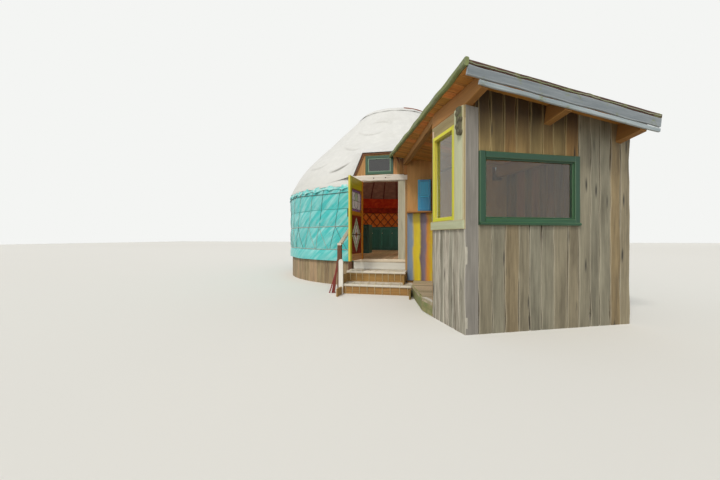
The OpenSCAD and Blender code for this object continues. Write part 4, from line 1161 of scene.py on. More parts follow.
milky = pane("milky_glass", "#F6F4F8", rough=0.35, clear=0.1)
violet = pane("violet_glass", "#A07CBE", rough=0.25, clear=0.2)
leafy = pane("pale_green_glass", "#C9DCBC", rough=0.3, clear=0.15)
amber = pane("amber_glass", "#D99A4E", rough=0.25, clear=0.5)
lead = metal("lead_came", "#6A6C6E", rust="#8B8A84", rough=0.45)
mid_y = LEAF_T / 2
QUARRY_T, RING_R, RING_BARS, CELLS = 0.005, 0.155, 16, 5
low, high = MID_UP + MID_RAIL, LEAF_H - TOP_RAIL
across_stops = [STILE + rail_w * t for t in (0.0, 0.11, 0.37, 0.63, 0.89, 1.0)]
up_stops = [low + (high - low) * t for t in (0.0, 0.13, 0.5, 0.87, 1.0)]
quarries = {"milky": [], "violet": [], "leafy": [], "amber": []}
for i, (x0, x1) in enumerate(zip(across_stops, across_stops[1:])):
    for j, (z0, z1) in enumerate(zip(up_stops, up_stops[1:])):
        border = i in (0, 4) or j in (0, 3)
        corner = i in (0, 4) and j in (0, 3)
        kind = (
            "amber" if corner else "violet" if border else "leafy" if (i + j) % 2 == 0 and i == 2
            else "milky"
        )
        quarries[kind].append(
            slab([leaf_at(x, mid_y, z) for x, z in ((x0, z0), (x1, z0), (x1, z1), (x0, z1))], QUARRY_T)
        )
bars = [came(leaf_at(x, mid_y, low), leaf_at(x, mid_y, high), leaf_y) for x in across_stops[1:-1]]
bars += [came(leaf_at(STILE, mid_y, z), leaf_at(STILE + rail_w, mid_y, z), leaf_y) for z in up_stops[1:-1]]
middle = Vector((STILE + rail_w / 2, (low + high) / 2))
for k in range(RING_BARS):
    a, b = 2 * math.pi * k / RING_BARS, 2 * math.pi * (k + 1) / RING_BARS
    ring = [leaf_at(middle.x + RING_R * math.cos(t), mid_y, middle.y + RING_R * math.sin(t)) for t in (a, b)]
    bars.append(came(ring[0], ring[1], leaf_y))
low, high = FOOT_RAIL + LOZENGE_CLEAR, MID_UP - LOZENGE_CLEAR
foot = Vector((LEAF_W / 2, low))
half = (high - low) / 2
right_side, left_side = Vector((LOZENGE_W, half)), Vector((-LOZENGE_W, half))
for i in range(CELLS):
    for j in range(CELLS):
        corners = [
            foot + right_side * a / CELLS + left_side * b / CELLS
            for a, b in ((i, j), (i + 1, j), (i + 1, j + 1), (i, j + 1))
        ]
        kind = "leafy" if i in (0, CELLS - 1) or j in (0, CELLS - 1) else "amber" if i == j == 2 else "milky"
        quarries[kind].append(slab([leaf_at(c.x, mid_y, c.y) for c in corners], QUARRY_T))
for i in range(CELLS + 1):
    for one, other in ((right_side, left_side), (left_side, right_side)):
        a, b = foot + one * i / CELLS, foot + one * i / CELLS + other
        bars.append(came(leaf_at(a.x, mid_y, a.y), leaf_at(b.x, mid_y, b.y), leaf_y))
bars.append(
    came(
        leaf_at(STILE, mid_y, low + half), leaf_at(STILE + rail_w, mid_y, low + half), leaf_y,
        (0.016, 0.024),
    )
)
piece("leaf_milky_quarries", quarries["milky"], milky, "door", ("door_panes",))
piece("leaf_violet_quarries", quarries["violet"], violet, "door")
piece("leaf_green_quarries", quarries["leafy"], leafy, "door")
piece("leaf_amber_quarries", quarries["amber"], amber, "door")
piece("leaf_lead_bars", bars, lead, "door")
panel_front = LEAF_T / 2 - 0.009
fields = []
for side in (-1, 1):
    edge_x = STILE if side < 0 else STILE + rail_w
    tip = LEAF_W / 2 + side * (LOZENGE_W + 0.004)
    for start, end in ((FOOT_RAIL, FOOT_RAIL + LOZENGE_CLEAR), (MID_UP, MID_UP - LOZENGE_CLEAR)):
        corners = [
            (edge_x, start), (LEAF_W / 2, start), (LEAF_W / 2, end), (tip, low + half),
            (edge_x, low + half),
        ]
        if (side < 0) == (start > end):
            corners.reverse()
        faces = (
            [(0, 1, 2, 3, 4), (9, 8, 7, 6, 5)]
            + [(k, k + 5, (k + 1) % 5 + 5, (k + 1) % 5) for k in range(5)]
        )
        spots = [leaf_at(x, y, z) for y in (panel_front, panel_front + 0.018) for x, z in corners]
        fields.append((spots, faces, [Vector((p.z, p.x, p.y)) for p in spots], [0.5] * 10, [0.0] * 10))
piece("leaf_red_fields", fields, red, "door", ("door_lower_panel",))
dress(iron, "door_straps", "door_pintles")
nails = []
for high in (FOOT_RAIL / 2, LEAF_H - TOP_RAIL / 2):
    for x in (0.05, 0.13, 0.21, 0.29):
        nails.append(knob(leaf_at(x, -0.006, high), -leaf_y, 0.007, 0.004))
piece("strap_nails", nails, iron, "door")

# Dormer over the door
# Tan boards close the front under the hood, round a dark green window with a paler frame
# inside it, and a brown board edges each slope.
rng = random.Random(41)
dormer_low, dormer_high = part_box("dormer_front")
warm_tan = timber("dormer_boards", "#D9A468", "#9C6434", "#E5C08C", knots=0.7, blotch=0.45)
DORMER_FOOT, DORMER_TOP = 0.56, 0.35
window_low, window_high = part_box("dormer_window")
boards = []
for side in (-1, 1):
    stops = (window_high.x, 0.385, 0.47, 0.555)
    for a, b in zip(stops, stops[1:]):
        lean = (DORMER_FOOT - DORMER_TOP) / (dormer_high.z - dormer_low.z)
        tall_a = min(dormer_high.z - dormer_low.z, (DORMER_FOOT - a) / lean)
        tall_b = min(dormer_high.z - dormer_low.z, (DORMER_FOOT - b) / lean)
        near, far, tall, other = (a, b, tall_a, tall_b) if side > 0 else (-b, -a, tall_b, tall_a)
        boards.append(
            board(
                (near, dormer_low.y, dormer_low.z), UP, (1, 0, 0),
                (max(tall, 0.002), far - near - 0.003, dormer_high.y - dormer_low.y),
                slant=(0, (other - tall) / (far - near)), rng=rng, step=0.1,
            )
        )
for low, high in ((dormer_low.z, window_low.z), (window_high.z, dormer_high.z)):
    boards.append(
        board(
            (window_low.x, dormer_low.y, high), (1, 0, 0), DOWN,
            (window_high.x - window_low.x, high - low, dormer_high.y - dormer_low.y), rng=rng,
        )
    )
piece("dormer_front_boards", boards, warm_tan, "house", ("dormer_front",))
brown = timber("brown_edge", "#7A4A26", "#4A2A16", "#95663C", knots=0.3, blotch=0.5)
EDGE_W, EDGE_DEEP = 0.036, 0.026
edges = []
for side in (-1, 1):
    foot = Vector((side * (DORMER_FOOT - 0.004), dormer_low.y - 0.022, dormer_low.z))
    head = Vector((side * (DORMER_TOP + 0.004), dormer_low.y - 0.022, dormer_high.z - 0.004))
    along = (head - foot).normalized()
    inward = Vector((0, 1, 0)).cross(along)
    if side > 0:
        foot = foot - inward * EDGE_W
    edges.append(
        board(
            foot, along, inward, ((head - foot).length - 0.02, EDGE_W, EDGE_DEEP), wane=0.004, rng=rng,
            step=0.1,
        )
    )
edges.append(
    board(
        (-DORMER_TOP - 0.02, dormer_low.y - 0.024, dormer_high.z - 0.002), (1, 0, 0), DOWN,
        (2 * DORMER_TOP + 0.04, 0.03, 0.024), wane=0.003, rng=rng,
    )
)
piece("dormer_edge_boards", edges, brown, "house")

SASH_WANE = 0.0015


def sash(corner, right, width, height, bar, depth, rng, bevel=0.006):
    """The two stiles and two rails of a frame, from its lower left corner as one looks at its face."""
    corner, right = Vector(corner), Vector(right).normalized()
    members = []
    for x in (0, width - bar):
        members.append(
            board(
                corner + right * x, UP, right, (height, bar, depth), wane=SASH_WANE, bevel=bevel, rng=rng,
                step=0.2,
            )
        )
    for z in (bar, height):
        members.append(
            board(
                corner + right * bar + UP * z, right, DOWN, (width - 2 * bar, bar, depth), wane=SASH_WANE,
                bevel=bevel, rng=rng, step=0.2,
            )
        )
    return members


green = timber(
    "green_paint", "#1F5636", "#143E27", "#4F6A4A", knots=0.0, blotch=0.6, rough=0.36, relief=0.0005,
    wear=0.6,
)
sage = timber("sage_paint", "#7F9A84", "#5B7862", "#A9B59E", knots=0.0, blotch=0.6, rough=0.45, relief=0.0005)
DORMER_BAR = 0.055
piece(
    "dormer_window_frame",
    sash(
        window_low, (1, 0, 0), window_high.x - window_low.x, window_high.z - window_low.z, DORMER_BAR, 0.04,
        rng,
    ),
    green, "house", ("dormer_window",),
)
inner = Vector((window_low.x + DORMER_BAR, window_low.y + 0.008, window_low.z + DORMER_BAR))
piece(
    "dormer_window_sash",
    sash(
        inner, (1, 0, 0), window_high.x - window_low.x - 2 * DORMER_BAR,
        window_high.z - window_low.z - 2 * DORMER_BAR, 0.022, 0.024, rng, bevel=0.003,
    ),
    sage, "house",
)
clear_glass = pane("clear_glass", "#DDE8E2", rough=0.0)
dress(clear_glass, "green_window_glass", "yellow_window_glass")
# The dormer pane is tinted dark green-grey to stand in for the dark trees it mirrors: a painted reflection.
dress(pane("glass_darkened_as_painted_reflection", "#27332A", rough=0.0), "dormer_glass")

# Steps and their guard
# Each tread is two worn boards over golden brown risers, with pale wire strips hooked over
# their fronts. The guard has a dark newel, a pale rail and a white rounded picket.
rng = random.Random(51)
tread_wood = timber("tread_boards", "#EEE7D8", "#BBAD96", "#F6F1E6", blotch=0.5, knots=0.4, relief=0.0018)
riser_wood = timber("riser_boards", "#B18C4A", "#6E5126", "#D2B67C", blotch=0.4, knots=0.5)
TREAD_T, NOSING, RISER_T = 0.045, 0.03, 0.025
step_low, step_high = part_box("step_lower")
landing_low, landing_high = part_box("landing")
treads, risers, strips = [], [], []
for low, high, back in (
    (step_low, step_high, landing_low.y + NOSING), (landing_low, landing_high, landing_high.y),
):
    split = low.y + (back - low.y) * 0.52
    for y0, y1 in ((low.y, split - 0.004), (split + 0.004, back)):
        treads.append(
            board(
                (low.x, y0, high.z - TREAD_T), (1, 0, 0), (0, 1, 0), (high.x - low.x, y1 - y0, TREAD_T),
                wane=0.005, bevel=0.011, rng=rng, step=0.15,
            )
        )
    risers.append(
        board(
            (low.x, low.y + NOSING, high.z - TREAD_T), (1, 0, 0), DOWN,
            (high.x - low.x, high.z - TREAD_T, RISER_T), wane=0.003, rng=rng,
        )
    )
    for x in (low.x + RISER_T, high.x):
        risers.append(
            board(
                (x, low.y + NOSING + RISER_T, 0.0), UP, (-1, 0, 0),
                (high.z - TREAD_T, RISER_T, back - low.y - NOSING - RISER_T), rng=rng,
            )
        )
    count = 9
    for k in range(count):
        x = low.x + 0.07 + (high.x - low.x - 0.16) * (k + rng.uniform(-0.12, 0.12)) / (count - 1)
        lean = rng.uniform(-0.005, 0.005)
        foot = 0.004 if low.y == step_low.y else step_high.z + 0.004
        path = [
            (x, low.y + 0.24, high.z + 0.003), (x, low.y + 0.012, high.z + 0.003),
            (x, low.y - 0.003, high.z - 0.012), (x + lean, low.y - 0.003, high.z - 0.035),
            (x + lean, low.y + NOSING - 0.006, high.z - TREAD_T - 0.02),
            (x + 2 * lean, low.y + NOSING - 0.005, foot + rng.uniform(0.0, 0.02)),
        ]
        strips.append(rope(path, 0.005, sides=5))
piece("tread_boards", treads, tread_wood, "house", ("step_lower", "landing"))
piece("riser_boards", risers, riser_wood, "house")
piece(
    "wire_strips", strips, timber("pale_slips", "#F6EFCF", "#E4D8AC", "#F8F4E2", knots=0.0), "house",
    smooth=True,
)
NEWEL_W = 0.08
post_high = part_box("stair_posts")[1]
rail_low, rail_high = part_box("stair_handrail")
newel_wood = timber("newel_timber", "#7A4B33", "#46281B", "#9A6C4E", blotch=0.5, knots=0.4)
newels = [
    board(
        (rail_low.x, step_low.y, 0), UP, (1, 0, 0), (rail_low.z, NEWEL_W, NEWEL_W), wane=0.004, bevel=0.007,
        rng=rng, step=0.15,
    ),
    board(
        (rail_low.x, rail_high.y, 0), UP, (1, 0, 0), (post_high.z, NEWEL_W, NEWEL_W), wane=0.004,
        bevel=0.007, rng=rng, step=0.2,
    ),
]
piece("stair_newels", newels, newel_wood, "house", ("stair_posts",))
rail_wood = timber("handrail_timber", "#E4DCCB", "#B3A78F", "#F2ECDF", blotch=0.5, knots=0.4)
RAIL_T, SLOPE = 0.045, math.radians(22)
run = rail_high.y - rail_low.y - NEWEL_W
along = Vector((0, math.cos(SLOPE), math.sin(SLOPE)))
rail = board(
    (rail_low.x, rail_low.y + NEWEL_W, rail_low.z), along, (1, 0, 0),
    (run / math.cos(SLOPE), NEWEL_W, RAIL_T * math.cos(SLOPE)), wane=0.005, bevel=0.008, rng=rng, step=0.12,
)
rail_end = board(
    (rail_low.x, rail_low.y, rail_low.z), (0, 1, 0), (1, 0, 0), (NEWEL_W, NEWEL_W, RAIL_T), bevel=0.008,
    rng=rng,
)
piece("stair_rail", [rail, rail_end], rail_wood, "house", ("stair_handrail",))
PICKET_W, PICKET_H, PICKET_T = 0.085, 0.672, 0.036
arch = [(0, 0), (PICKET_W, 0)]
arch += [
    (PICKET_W / 2 + PICKET_W / 2 * math.cos(a), PICKET_H - PICKET_W / 2 + PICKET_W / 2 * math.sin(a))
    for a in spread(0, math.pi, math.pi / 10)
]
picket_x, picket_y = rail_low.x + NEWEL_W / 2, step_low.y - 0.04
count = len(arch)
face_points = [Vector((picket_x + x, picket_y + y, z)) for y in (0.0, PICKET_T) for x, z in arch]
face_list = [tuple(range(count)), tuple(reversed(range(count, 2 * count)))]
face_list += [(k, k + count, (k + 1) % count + count, (k + 1) % count) for k in range(count)]
picket = (
    face_points, face_list, [Vector((p.z, p.x, p.y)) for p in face_points], [0.5] * 2 * count,
    [0.4] * 2 * count,
)
piece("white_picket", [picket], white_wood, "house")
BRACE = 0.03
brace_y = step_low.y + NEWEL_W / 2 - BRACE / 2
slats = []
for head, foot, wide in ((0.60, 0.095, 0.055), (0.50, 0.15, 0.035), (0.66, 0.05, 0.035)):
    start = Vector((rail_low.x - BRACE - foot, brace_y + 0.01 * wide, 0.0))
    end = Vector((rail_low.x - BRACE + 0.012, brace_y + 0.01 * wide, head))
    slats.append(
        board(
            start, end - start, Vector((1, 0, 0)), ((end - start).length, wide * 0.7, BRACE * 0.6),
            wane=0.004, rng=rng,
        )
    )
piece("red_slats", slats, red, "house")

# Cabin walls
# The lean-to turns its front towards the left. Rough boards stand side by side outside,
# brown boards line it inside, and the windows' frames close the edges of both.
CORNER, CABIN_TURN = Vector((1.449, -6.364, 0)), math.radians(24.2)
to_right = Vector((math.cos(CABIN_TURN), math.sin(CABIN_TURN), 0))
inward = Vector((-math.sin(CABIN_TURN), math.cos(CABIN_TURN), 0))
HEAD, CABIN_PITCH = 2.585, math.radians(8.2)
PURLIN_W, PURLIN_H, PURLIN_STEP = 0.09, 0.225, 0.128
FRONT_L, LEFT_L, WALL_T, BOARD_T = 2.30, 0.85, 0.07, 0.024
LINING_T, LINING_FOOT, SILL_H = 0.018, 0.19, 0.11
rng = random.Random(61)


def cabin_at(s, t, z=0.0):
    """A point s metres along the cabin's front wall from its corner, t metres in and z up."""
    return CORNER + to_right * s + inward * t + UP * z


def cladding(origin, right, stops, low, head, depth, wane, rng, widths=(0.145, 0.2), gap=0.009):
    """Upright boards between two stops along right, from the height low up to head(x)."""
    x, end = stops
    made = []
    while x < end - 0.01:
        wide = min(rng.uniform(*widths), end - x)
        if end - x - wide < 0.05:
            wide = end - x
        tall = head(x) - low
        made.append(
            board(origin + right * (x + gap / 2) + UP * low, UP, right, (tall, wide - gap, depth), wane=wane,
                  slant=(0, (head(x + wide) - head(x)) / wide), rng=rng, bevel=0.004, step=0.14)
        )
        x += wide
    return made


def low_head(s):
    """The height under the purlins at s metres along the front wall."""
    return HEAD - s * math.tan(CABIN_PITCH) - 0.001


def front_head(s):
    """The height under the roof boards at s metres along the front wall."""
    return low_head(s) + PURLIN_H / math.cos(CABIN_PITCH) - 0.001


GREEN_S, GREEN_W, GREEN_Z, GREEN_H, GREEN_BAR = 0.174, 1.352, 1.24, 0.835, 0.075
YELLOW_T, YELLOW_W, YELLOW_Z, YELLOW_BAR = 0.215, 0.58, 1.30, 0.05
YELLOW_H = HEAD - 0.155 - YELLOW_Z
PROUD = 0.022
grey = timber(
    "grey_boards", "#AFA996", "#6E6859", "#C4BCA8", knots=1.0, blotch=0.62, relief=0.0022, spread=0.32,
    other="#E0CCA6",
)
# The head boards darken towards the top: painted shade under the eave, partly also wood less weathered there.
warm_grey = timber(
    "warm_grey_boards", "#B09A6A", "#6E5A34", "#CCB684", knots=1.0, blotch=0.62, relief=0.0022, spread=0.32,
    other="#E2C594", painted_shade_from=(2.12, 2.55, 1.0, "#7A6A4E"),
)
post = timber("corner_post", "#9B968E", "#6E6A64", "#B5B0A8", knots=0.4, blotch=0.4, relief=0.0014)
piece(
    "cabin_corner_board",
    cladding(
        cabin_at(0, 0), to_right, (0, GREEN_S), 0.0, low_head, BOARD_T + 0.004, 0.002, rng,
        widths=(0.18, 0.19),
    ),
    post, "house", ("cabin_wall_front",),
)
low_boards = cladding(
    cabin_at(0, 0), to_right, (GREEN_S, GREEN_S + GREEN_W), 0.0, lambda s: GREEN_Z, BOARD_T, 0.022, rng,
)
low_boards += cladding(
    cabin_at(0, 0), to_right, (GREEN_S + GREEN_W, FRONT_L), 0.0, front_head, BOARD_T, 0.022, rng,
    widths=(0.12, 0.19),
)
piece("cabin_front_boards", low_boards, grey, "house")
high_boards = cladding(
    cabin_at(0, 0), to_right, (GREEN_S, GREEN_S + GREEN_W), GREEN_Z + GREEN_H, front_head, BOARD_T, 0.018, rng
)
high_boards += cladding(
    cabin_at(0, 0), to_right, (PURLIN_STEP, GREEN_S), low_head(PURLIN_STEP), front_head, BOARD_T, 0.0, rng
)
piece("cabin_front_head_boards", high_boards, warm_grey, "house")
waney = timber(
    "waney_boards", "#DCD6C6", "#6A6152", "#EAE5D6", knots=1.0, blotch=0.45, relief=0.003, spread=0.26,
)
left_boards = cladding(
    cabin_at(0, LEFT_L), -inward, (0, LEFT_L - 0.002), 0.0, lambda x: YELLOW_Z - 0.108, 0.034, 0.03, rng,
    widths=(0.10, 0.15), gap=0.012,
)
piece("cabin_left_boards", left_boards, waney, "house", ("cabin_wall_left",))
left_head = [
    board(
        cabin_at(0, LEFT_L, HEAD - 0.002), -inward, DOWN,
        (LEFT_L, HEAD - YELLOW_Z - YELLOW_H - 0.003, BOARD_T), wane=0.004, rng=rng,
    ),
    board(
        cabin_at(0, LEFT_L, YELLOW_Z - SILL_H), UP, -inward,
        (YELLOW_H + SILL_H, LEFT_L - YELLOW_T - YELLOW_W, BOARD_T), rng=rng,
    ),
    board(
        cabin_at(0, YELLOW_T, YELLOW_Z - SILL_H), UP, -inward,
        (HEAD - YELLOW_Z + 0.10, YELLOW_T - 0.001, BOARD_T), rng=rng,
    ),
]
pale_tan = timber("left_head_boards", "#D2BC8E", "#8E7450", "#E0CDA8", knots=0.4, blotch=0.4)
piece("cabin_left_head_boards", left_head, pale_tan, "house")
RIGHT_END = 2.3256
right_boards = cladding(
    cabin_at(FRONT_L, BOARD_T), inward, (0, RIGHT_END - BOARD_T), 0.0, lambda x: front_head(FRONT_L),
    BOARD_T, 0.02, rng,
)
piece("cabin_right_boards", right_boards, grey, "house", ("cabin_wall_right",))
inner_brown = timber("inner_boards", "#A4713C", "#6A4220", "#B98A52", knots=0.5, blotch=0.45, rough=0.55)
inside = []
for stops, low, head in (
    ((WALL_T, GREEN_S), LINING_FOOT, low_head),
    ((GREEN_S, GREEN_S + GREEN_W), LINING_FOOT, lambda s: GREEN_Z),
    ((GREEN_S, GREEN_S + GREEN_W), GREEN_Z + GREEN_H, front_head),
    ((GREEN_S + GREEN_W, FRONT_L - WALL_T), LINING_FOOT, front_head),
):
    inside += cladding(
        cabin_at(0, WALL_T - LINING_T), to_right, stops, low, head, LINING_T, 0.0, rng, gap=0.002,
    )
for stops, low, head in (
    ((0.0, LEFT_L - YELLOW_T - YELLOW_W), LINING_FOOT, lambda x: HEAD - 0.02),
    ((LEFT_L - YELLOW_T, LEFT_L - WALL_T), LINING_FOOT, lambda x: HEAD - 0.02),
    ((LEFT_L - YELLOW_T - YELLOW_W, LEFT_L - YELLOW_T), LINING_FOOT, lambda x: YELLOW_Z),
    ((LEFT_L - YELLOW_T - YELLOW_W, LEFT_L - YELLOW_T), YELLOW_Z + YELLOW_H, lambda x: HEAD - 0.02),
):
    inside += cladding(
        cabin_at(WALL_T - LINING_T, LEFT_L), -inward, stops, low, head, LINING_T, 0.0, rng, gap=0.002,
    )
inside += cladding(
    cabin_at(FRONT_L - WALL_T + LINING_T, WALL_T), inward, (0, RIGHT_END - WALL_T - 0.02), LINING_FOOT,
    lambda x: front_head(FRONT_L), LINING_T, 0.0, rng, gap=0.002,
)
inside.append(board(cabin_at(0.0, LEFT_L - 0.022, 0.0), UP, to_right, (HEAD - 0.004, WALL_T, 0.022), rng=rng))
piece("cabin_lining_boards", inside, inner_brown, "house")

# Cabin windows
# A dark green frame in the front wall and a bright yellow one in the left wall, with a
# cream sill board, a cream board up the corner and a carved piece at its head.
rng = random.Random(71)
piece(
    "green_window_frame",
    sash(
        cabin_at(GREEN_S, -PROUD, GREEN_Z), to_right, GREEN_W, GREEN_H, GREEN_BAR, WALL_T + PROUD, rng,
        bevel=0.008,
    ),
    green, "house", ("green_window",),
)
leaf_green = timber(
    "leaf_green_paint", "#1C5A33", "#103A20", "#56794F", knots=0.0, blotch=0.6, rough=0.34, relief=0.0004,
    wear=0.5,
)
piece(
    "green_window_sill",
    [
        board(
            cabin_at(GREEN_S - 0.004, -PROUD - 0.012, GREEN_Z + 0.03), to_right, DOWN,
            (GREEN_W + 0.008, 0.034, 0.05), bevel=0.008, rng=rng, wane=0.002,
        )
    ],
    leaf_green, "house",
)
piece(
    "green_window_beads",
    sash(
        cabin_at(GREEN_S + GREEN_BAR, -0.004, GREEN_Z + GREEN_BAR), to_right, GREEN_W - 2 * GREEN_BAR,
        GREEN_H - 2 * GREEN_BAR, 0.016, 0.02, rng, bevel=0.004,
    ),
    leaf_green, "house",
)
piece(
    "yellow_window_frame",
    sash(
        cabin_at(-PROUD, YELLOW_T + YELLOW_W, YELLOW_Z), -inward, YELLOW_W, YELLOW_H, YELLOW_BAR,
        WALL_T + PROUD, rng, bevel=0.006,
    ),
    yellow, "house", ("yellow_window",),
)
cream = timber(
    "cream_paint", "#E0E3C0", "#BFC297", "#B9A67E", knots=0.1, blotch=0.6, rough=0.45, relief=0.0007,
    wear=0.9,
)
trim = [
    board(
        cabin_at(-0.025, LEFT_L, YELLOW_Z), -inward, DOWN, (LEFT_L - 0.01, SILL_H, 0.025), wane=0.003,
        bevel=0.005, rng=rng, step=0.12,
    ),
    board(
        cabin_at(-0.020, YELLOW_T - 0.002, YELLOW_Z), UP, -inward,
        (HEAD - YELLOW_Z - 0.003, YELLOW_T - 0.012, 0.020), wane=0.003, bevel=0.005, rng=rng, step=0.12,
    ),
]
piece("cream_trim", trim, cream, "house", ("corner_trim",))
rosy = timber("rosy_edge", "#E7CDB4", "#C9A68A", "#F0DEC8", knots=0.1, blotch=0.5, rough=0.5)
strip = board(
    cabin_at(-0.010, YELLOW_T + YELLOW_W + 0.03, YELLOW_Z), UP, -inward, (YELLOW_H + 0.1, 0.028, 0.02),
    wane=0.002, rng=rng,
)
piece("yellow_window_edge", [strip], rosy, "house")
carving = timber(
    "carved_wood", "#6F6A52", "#2C271C", "#8F8A6C", along=(0, 90, 0), knots=0.2, blotch=0.4, relief=0.004,
    moss=0.3,
)
dress(carving, "carved_bracket")
BRACKET_MID, BRACKET_FOOT = 0.069, HEAD - 0.342
scrolls = []
for k in range(4):
    turn = 1 if k % 2 else -1
    centre = (BRACKET_MID + turn * 0.010, BRACKET_FOOT + 0.040 + k * 0.072)
    path = []
    for a in spread(0, 3.6 * math.pi, 0.5):
        r = 0.030 * (1 - a / (4.2 * math.pi))
        path.append(cabin_at(-0.060, centre[0] + turn * r * math.cos(a), centre[1] + r * math.sin(a)))
    scrolls.append(rope(path, 0.0055, sides=6))
piece(
    "carved_scrolls", scrolls,
    timber("scroll_wood", "#8B866A", "#4A4432", "#A7A184", blotch=0.5, knots=0.0), "house",
    smooth=True,
)

# Cabin roof
# Boards lie down the slope over the purlins, under a covering that has gone mossy. Two
# waney boards hang along the front edge and a mossy one along the left edge.
down_slope = to_right * math.cos(CABIN_PITCH) - UP * math.sin(CABIN_PITCH)
off_slope = to_right * math.sin(CABIN_PITCH) + UP * math.cos(CABIN_PITCH)
SOFFIT_T, COVER_T, BEAM_H, TAIL_RISE = 0.022, 0.06, 0.13, 0.06
FRONT_OVER, LEFT_OVER, RIGHT_OVER, EDGE_T = 0.29, 0.18, 0.02, 0.028
tilt = math.cos(CABIN_PITCH)
rng = random.Random(81)


def slope_at(x, y, z):
    """A point on the cabin roof: x down the slope, y back from the front wall, z off the purlins' foot."""
    return CORNER + UP * HEAD + down_slope * x + inward * y + off_slope * z


def cabin_place(x, y):
    """A ground point as distances along the front wall and into the cabin."""
    way = Vector((x, y, 0)) - CORNER
    return way.dot(to_right), way.dot(inward)


BACK_Y = back_low.y
BACK_LEFT = back_low.x
BACK_T = 0.05
left_back = cabin_place(0.24, BACK_Y - 0.01)
right_edge = (FRONT_L + RIGHT_OVER) / tilt
right_back = (
    BACK_Y + BACK_T + 0.01 - CORNER.y - (FRONT_L + RIGHT_OVER) * math.sin(CABIN_TURN)
) / math.cos(CABIN_TURN)
inner_back = cabin_place(BACK_LEFT - 0.003, BACK_Y + BACK_T + 0.01)
left_lean = (left_back[0] / tilt + LEFT_OVER / tilt) / (left_back[1] + FRONT_OVER)
back_lean = (inner_back[0] / tilt - right_edge) / (inner_back[1] - right_back)


def left_at(y):
    """Where the left edge of the roof lies down the slope, y metres back from the front wall."""
    return -LEFT_OVER / tilt + left_lean * (y + FRONT_OVER)


def right_at(y):
    """Where the right edge of the roof lies down the slope, y metres back from the front wall."""
    return right_edge if y <= right_back else right_edge + back_lean * (y - right_back)


soffit = timber("soffit_boards", "#E8A04C", "#9C5E22", "#EDBC78", knots=0.6, blotch=0.4, relief=0.0016)
boards, y = [], -FRONT_OVER
for stop in (right_back, left_back[1] - 0.14):
    while y < stop - 0.01:
        wide = min(rng.uniform(0.12, 0.19), stop - y)
        if stop - y - wide < 0.05:
            wide = stop - y
        foot = slope_at(left_at(y + 0.004), y + 0.004, PURLIN_H + rng.uniform(0.0, 0.002))
        boards.append(
            board(
                foot, down_slope, inward, (right_at(y) - left_at(y), wide - 0.008, SOFFIT_T - 0.002),
                wane=0.014, slant=(left_lean, (right_at(y + wide) - right_at(y)) / wide), rng=rng, step=0.2,
            )
        )
        y += wide
piece("soffit_boards", boards, soffit, "house", ("roof_boards",))
beam_wood = timber("purlin_timber", "#B87F3C", "#774A1E", "#C08A4E", knots=0.6, blotch=0.4, relief=0.0016)
bars = []
for x, end in ((0.0, LEFT_L + 0.02), (1.03 / tilt, None), (2.07 / tilt, None)):
    if end is None:
        reach = x * tilt + PURLIN_W
        end = (BACK_Y + BACK_T - CORNER.y - reach * math.sin(CABIN_TURN)) / math.cos(CABIN_TURN)
    bar = board(
        slope_at(x + PURLIN_W, -FRONT_OVER + 0.002, 0.0005), inward, -down_slope,
        (end + FRONT_OVER - 0.002, PURLIN_W, PURLIN_H - 0.001), bevel=0.007, wane=0.003, rng=rng, step=0.145,
    )
    for k, point in enumerate(bar[0]):
        way = point - slope_at(0, 0, 0)
        past = max(0.0, -way.dot(inward) / FRONT_OVER)
        bar[0][k] = point + off_slope * TAIL_RISE * past * (1 - way.dot(off_slope) / PURLIN_H)
    bars.append(bar)
beam_s, beam_t = cabin_place(BACK_LEFT - 0.1, BACK_Y - 0.012)
lean = math.tan(CABIN_TURN)
beam_up = PURLIN_H - BEAM_H + 0.0005
start = slope_at(PURLIN_W, LEFT_L + 0.03, beam_up)
end = slope_at(beam_s + PURLIN_W, beam_t - PURLIN_W * lean, beam_up)
bars.append(
    board(
        start, end - start, -down_slope, ((end - start).length, PURLIN_W * 0.97, BEAM_H - 0.001),
        slant=(0, 0.35), bevel=0.007, wane=0.003, rng=rng,
    )
)
piece("roof_purlin_beams", bars, beam_wood, "house", ("roof_purlins",))


def mossy(name):
    """Old roofing grown over with moss and grey lichen."""
    made, tree = bare(name)
    where = put(tree, "ShaderNodeTexCoord").outputs["Object"]
    tuft = put(
        tree, "ShaderNodeTexNoise", {"Vector": where, "Scale": 26.0, "Detail": 9.0, "Roughness": 0.72},
    ).outputs["Fac"]
    wide = put(
        tree, "ShaderNodeTexNoise", {"Vector": where, "Scale": 3.2, "Detail": 5.0, "Roughness": 0.6},
    ).outputs["Fac"]
    leafy_tone = blend(tree, tuft, paint("#3E4A22"), paint("#8F9A5C"))
    dry = blend(tree, tuft, paint("#5B5A4A"), paint("#A9AA92"))
    share = put(tree, "ShaderNodeMapRange", {"Value": wide, "From Min": 0.42, "From Max": 0.6}).outputs[0]
    shade = blend(tree, share, leafy_tone, dry)
    height = put(tree, "ShaderNodeMath", {0: tuft, 1: wide}).outputs[0]
    bump = put(tree, "ShaderNodeBump", {"Height": height, "Distance": 0.012, "Strength": 0.9})
    skin = put(
        tree, "ShaderNodeBsdfPrincipled",
        {
            "Base Color": shade, "Roughness": 0.92, "IOR": 1.45, "Sheen Weight": 0.35,
            "Normal": bump.outputs[0],
        },
    )
    put(tree, "ShaderNodeOutputMaterial", {"Surface": skin.outputs[0]})
    return made


OUT = EDGE_T + 0.005
moss = mossy("roof_moss")


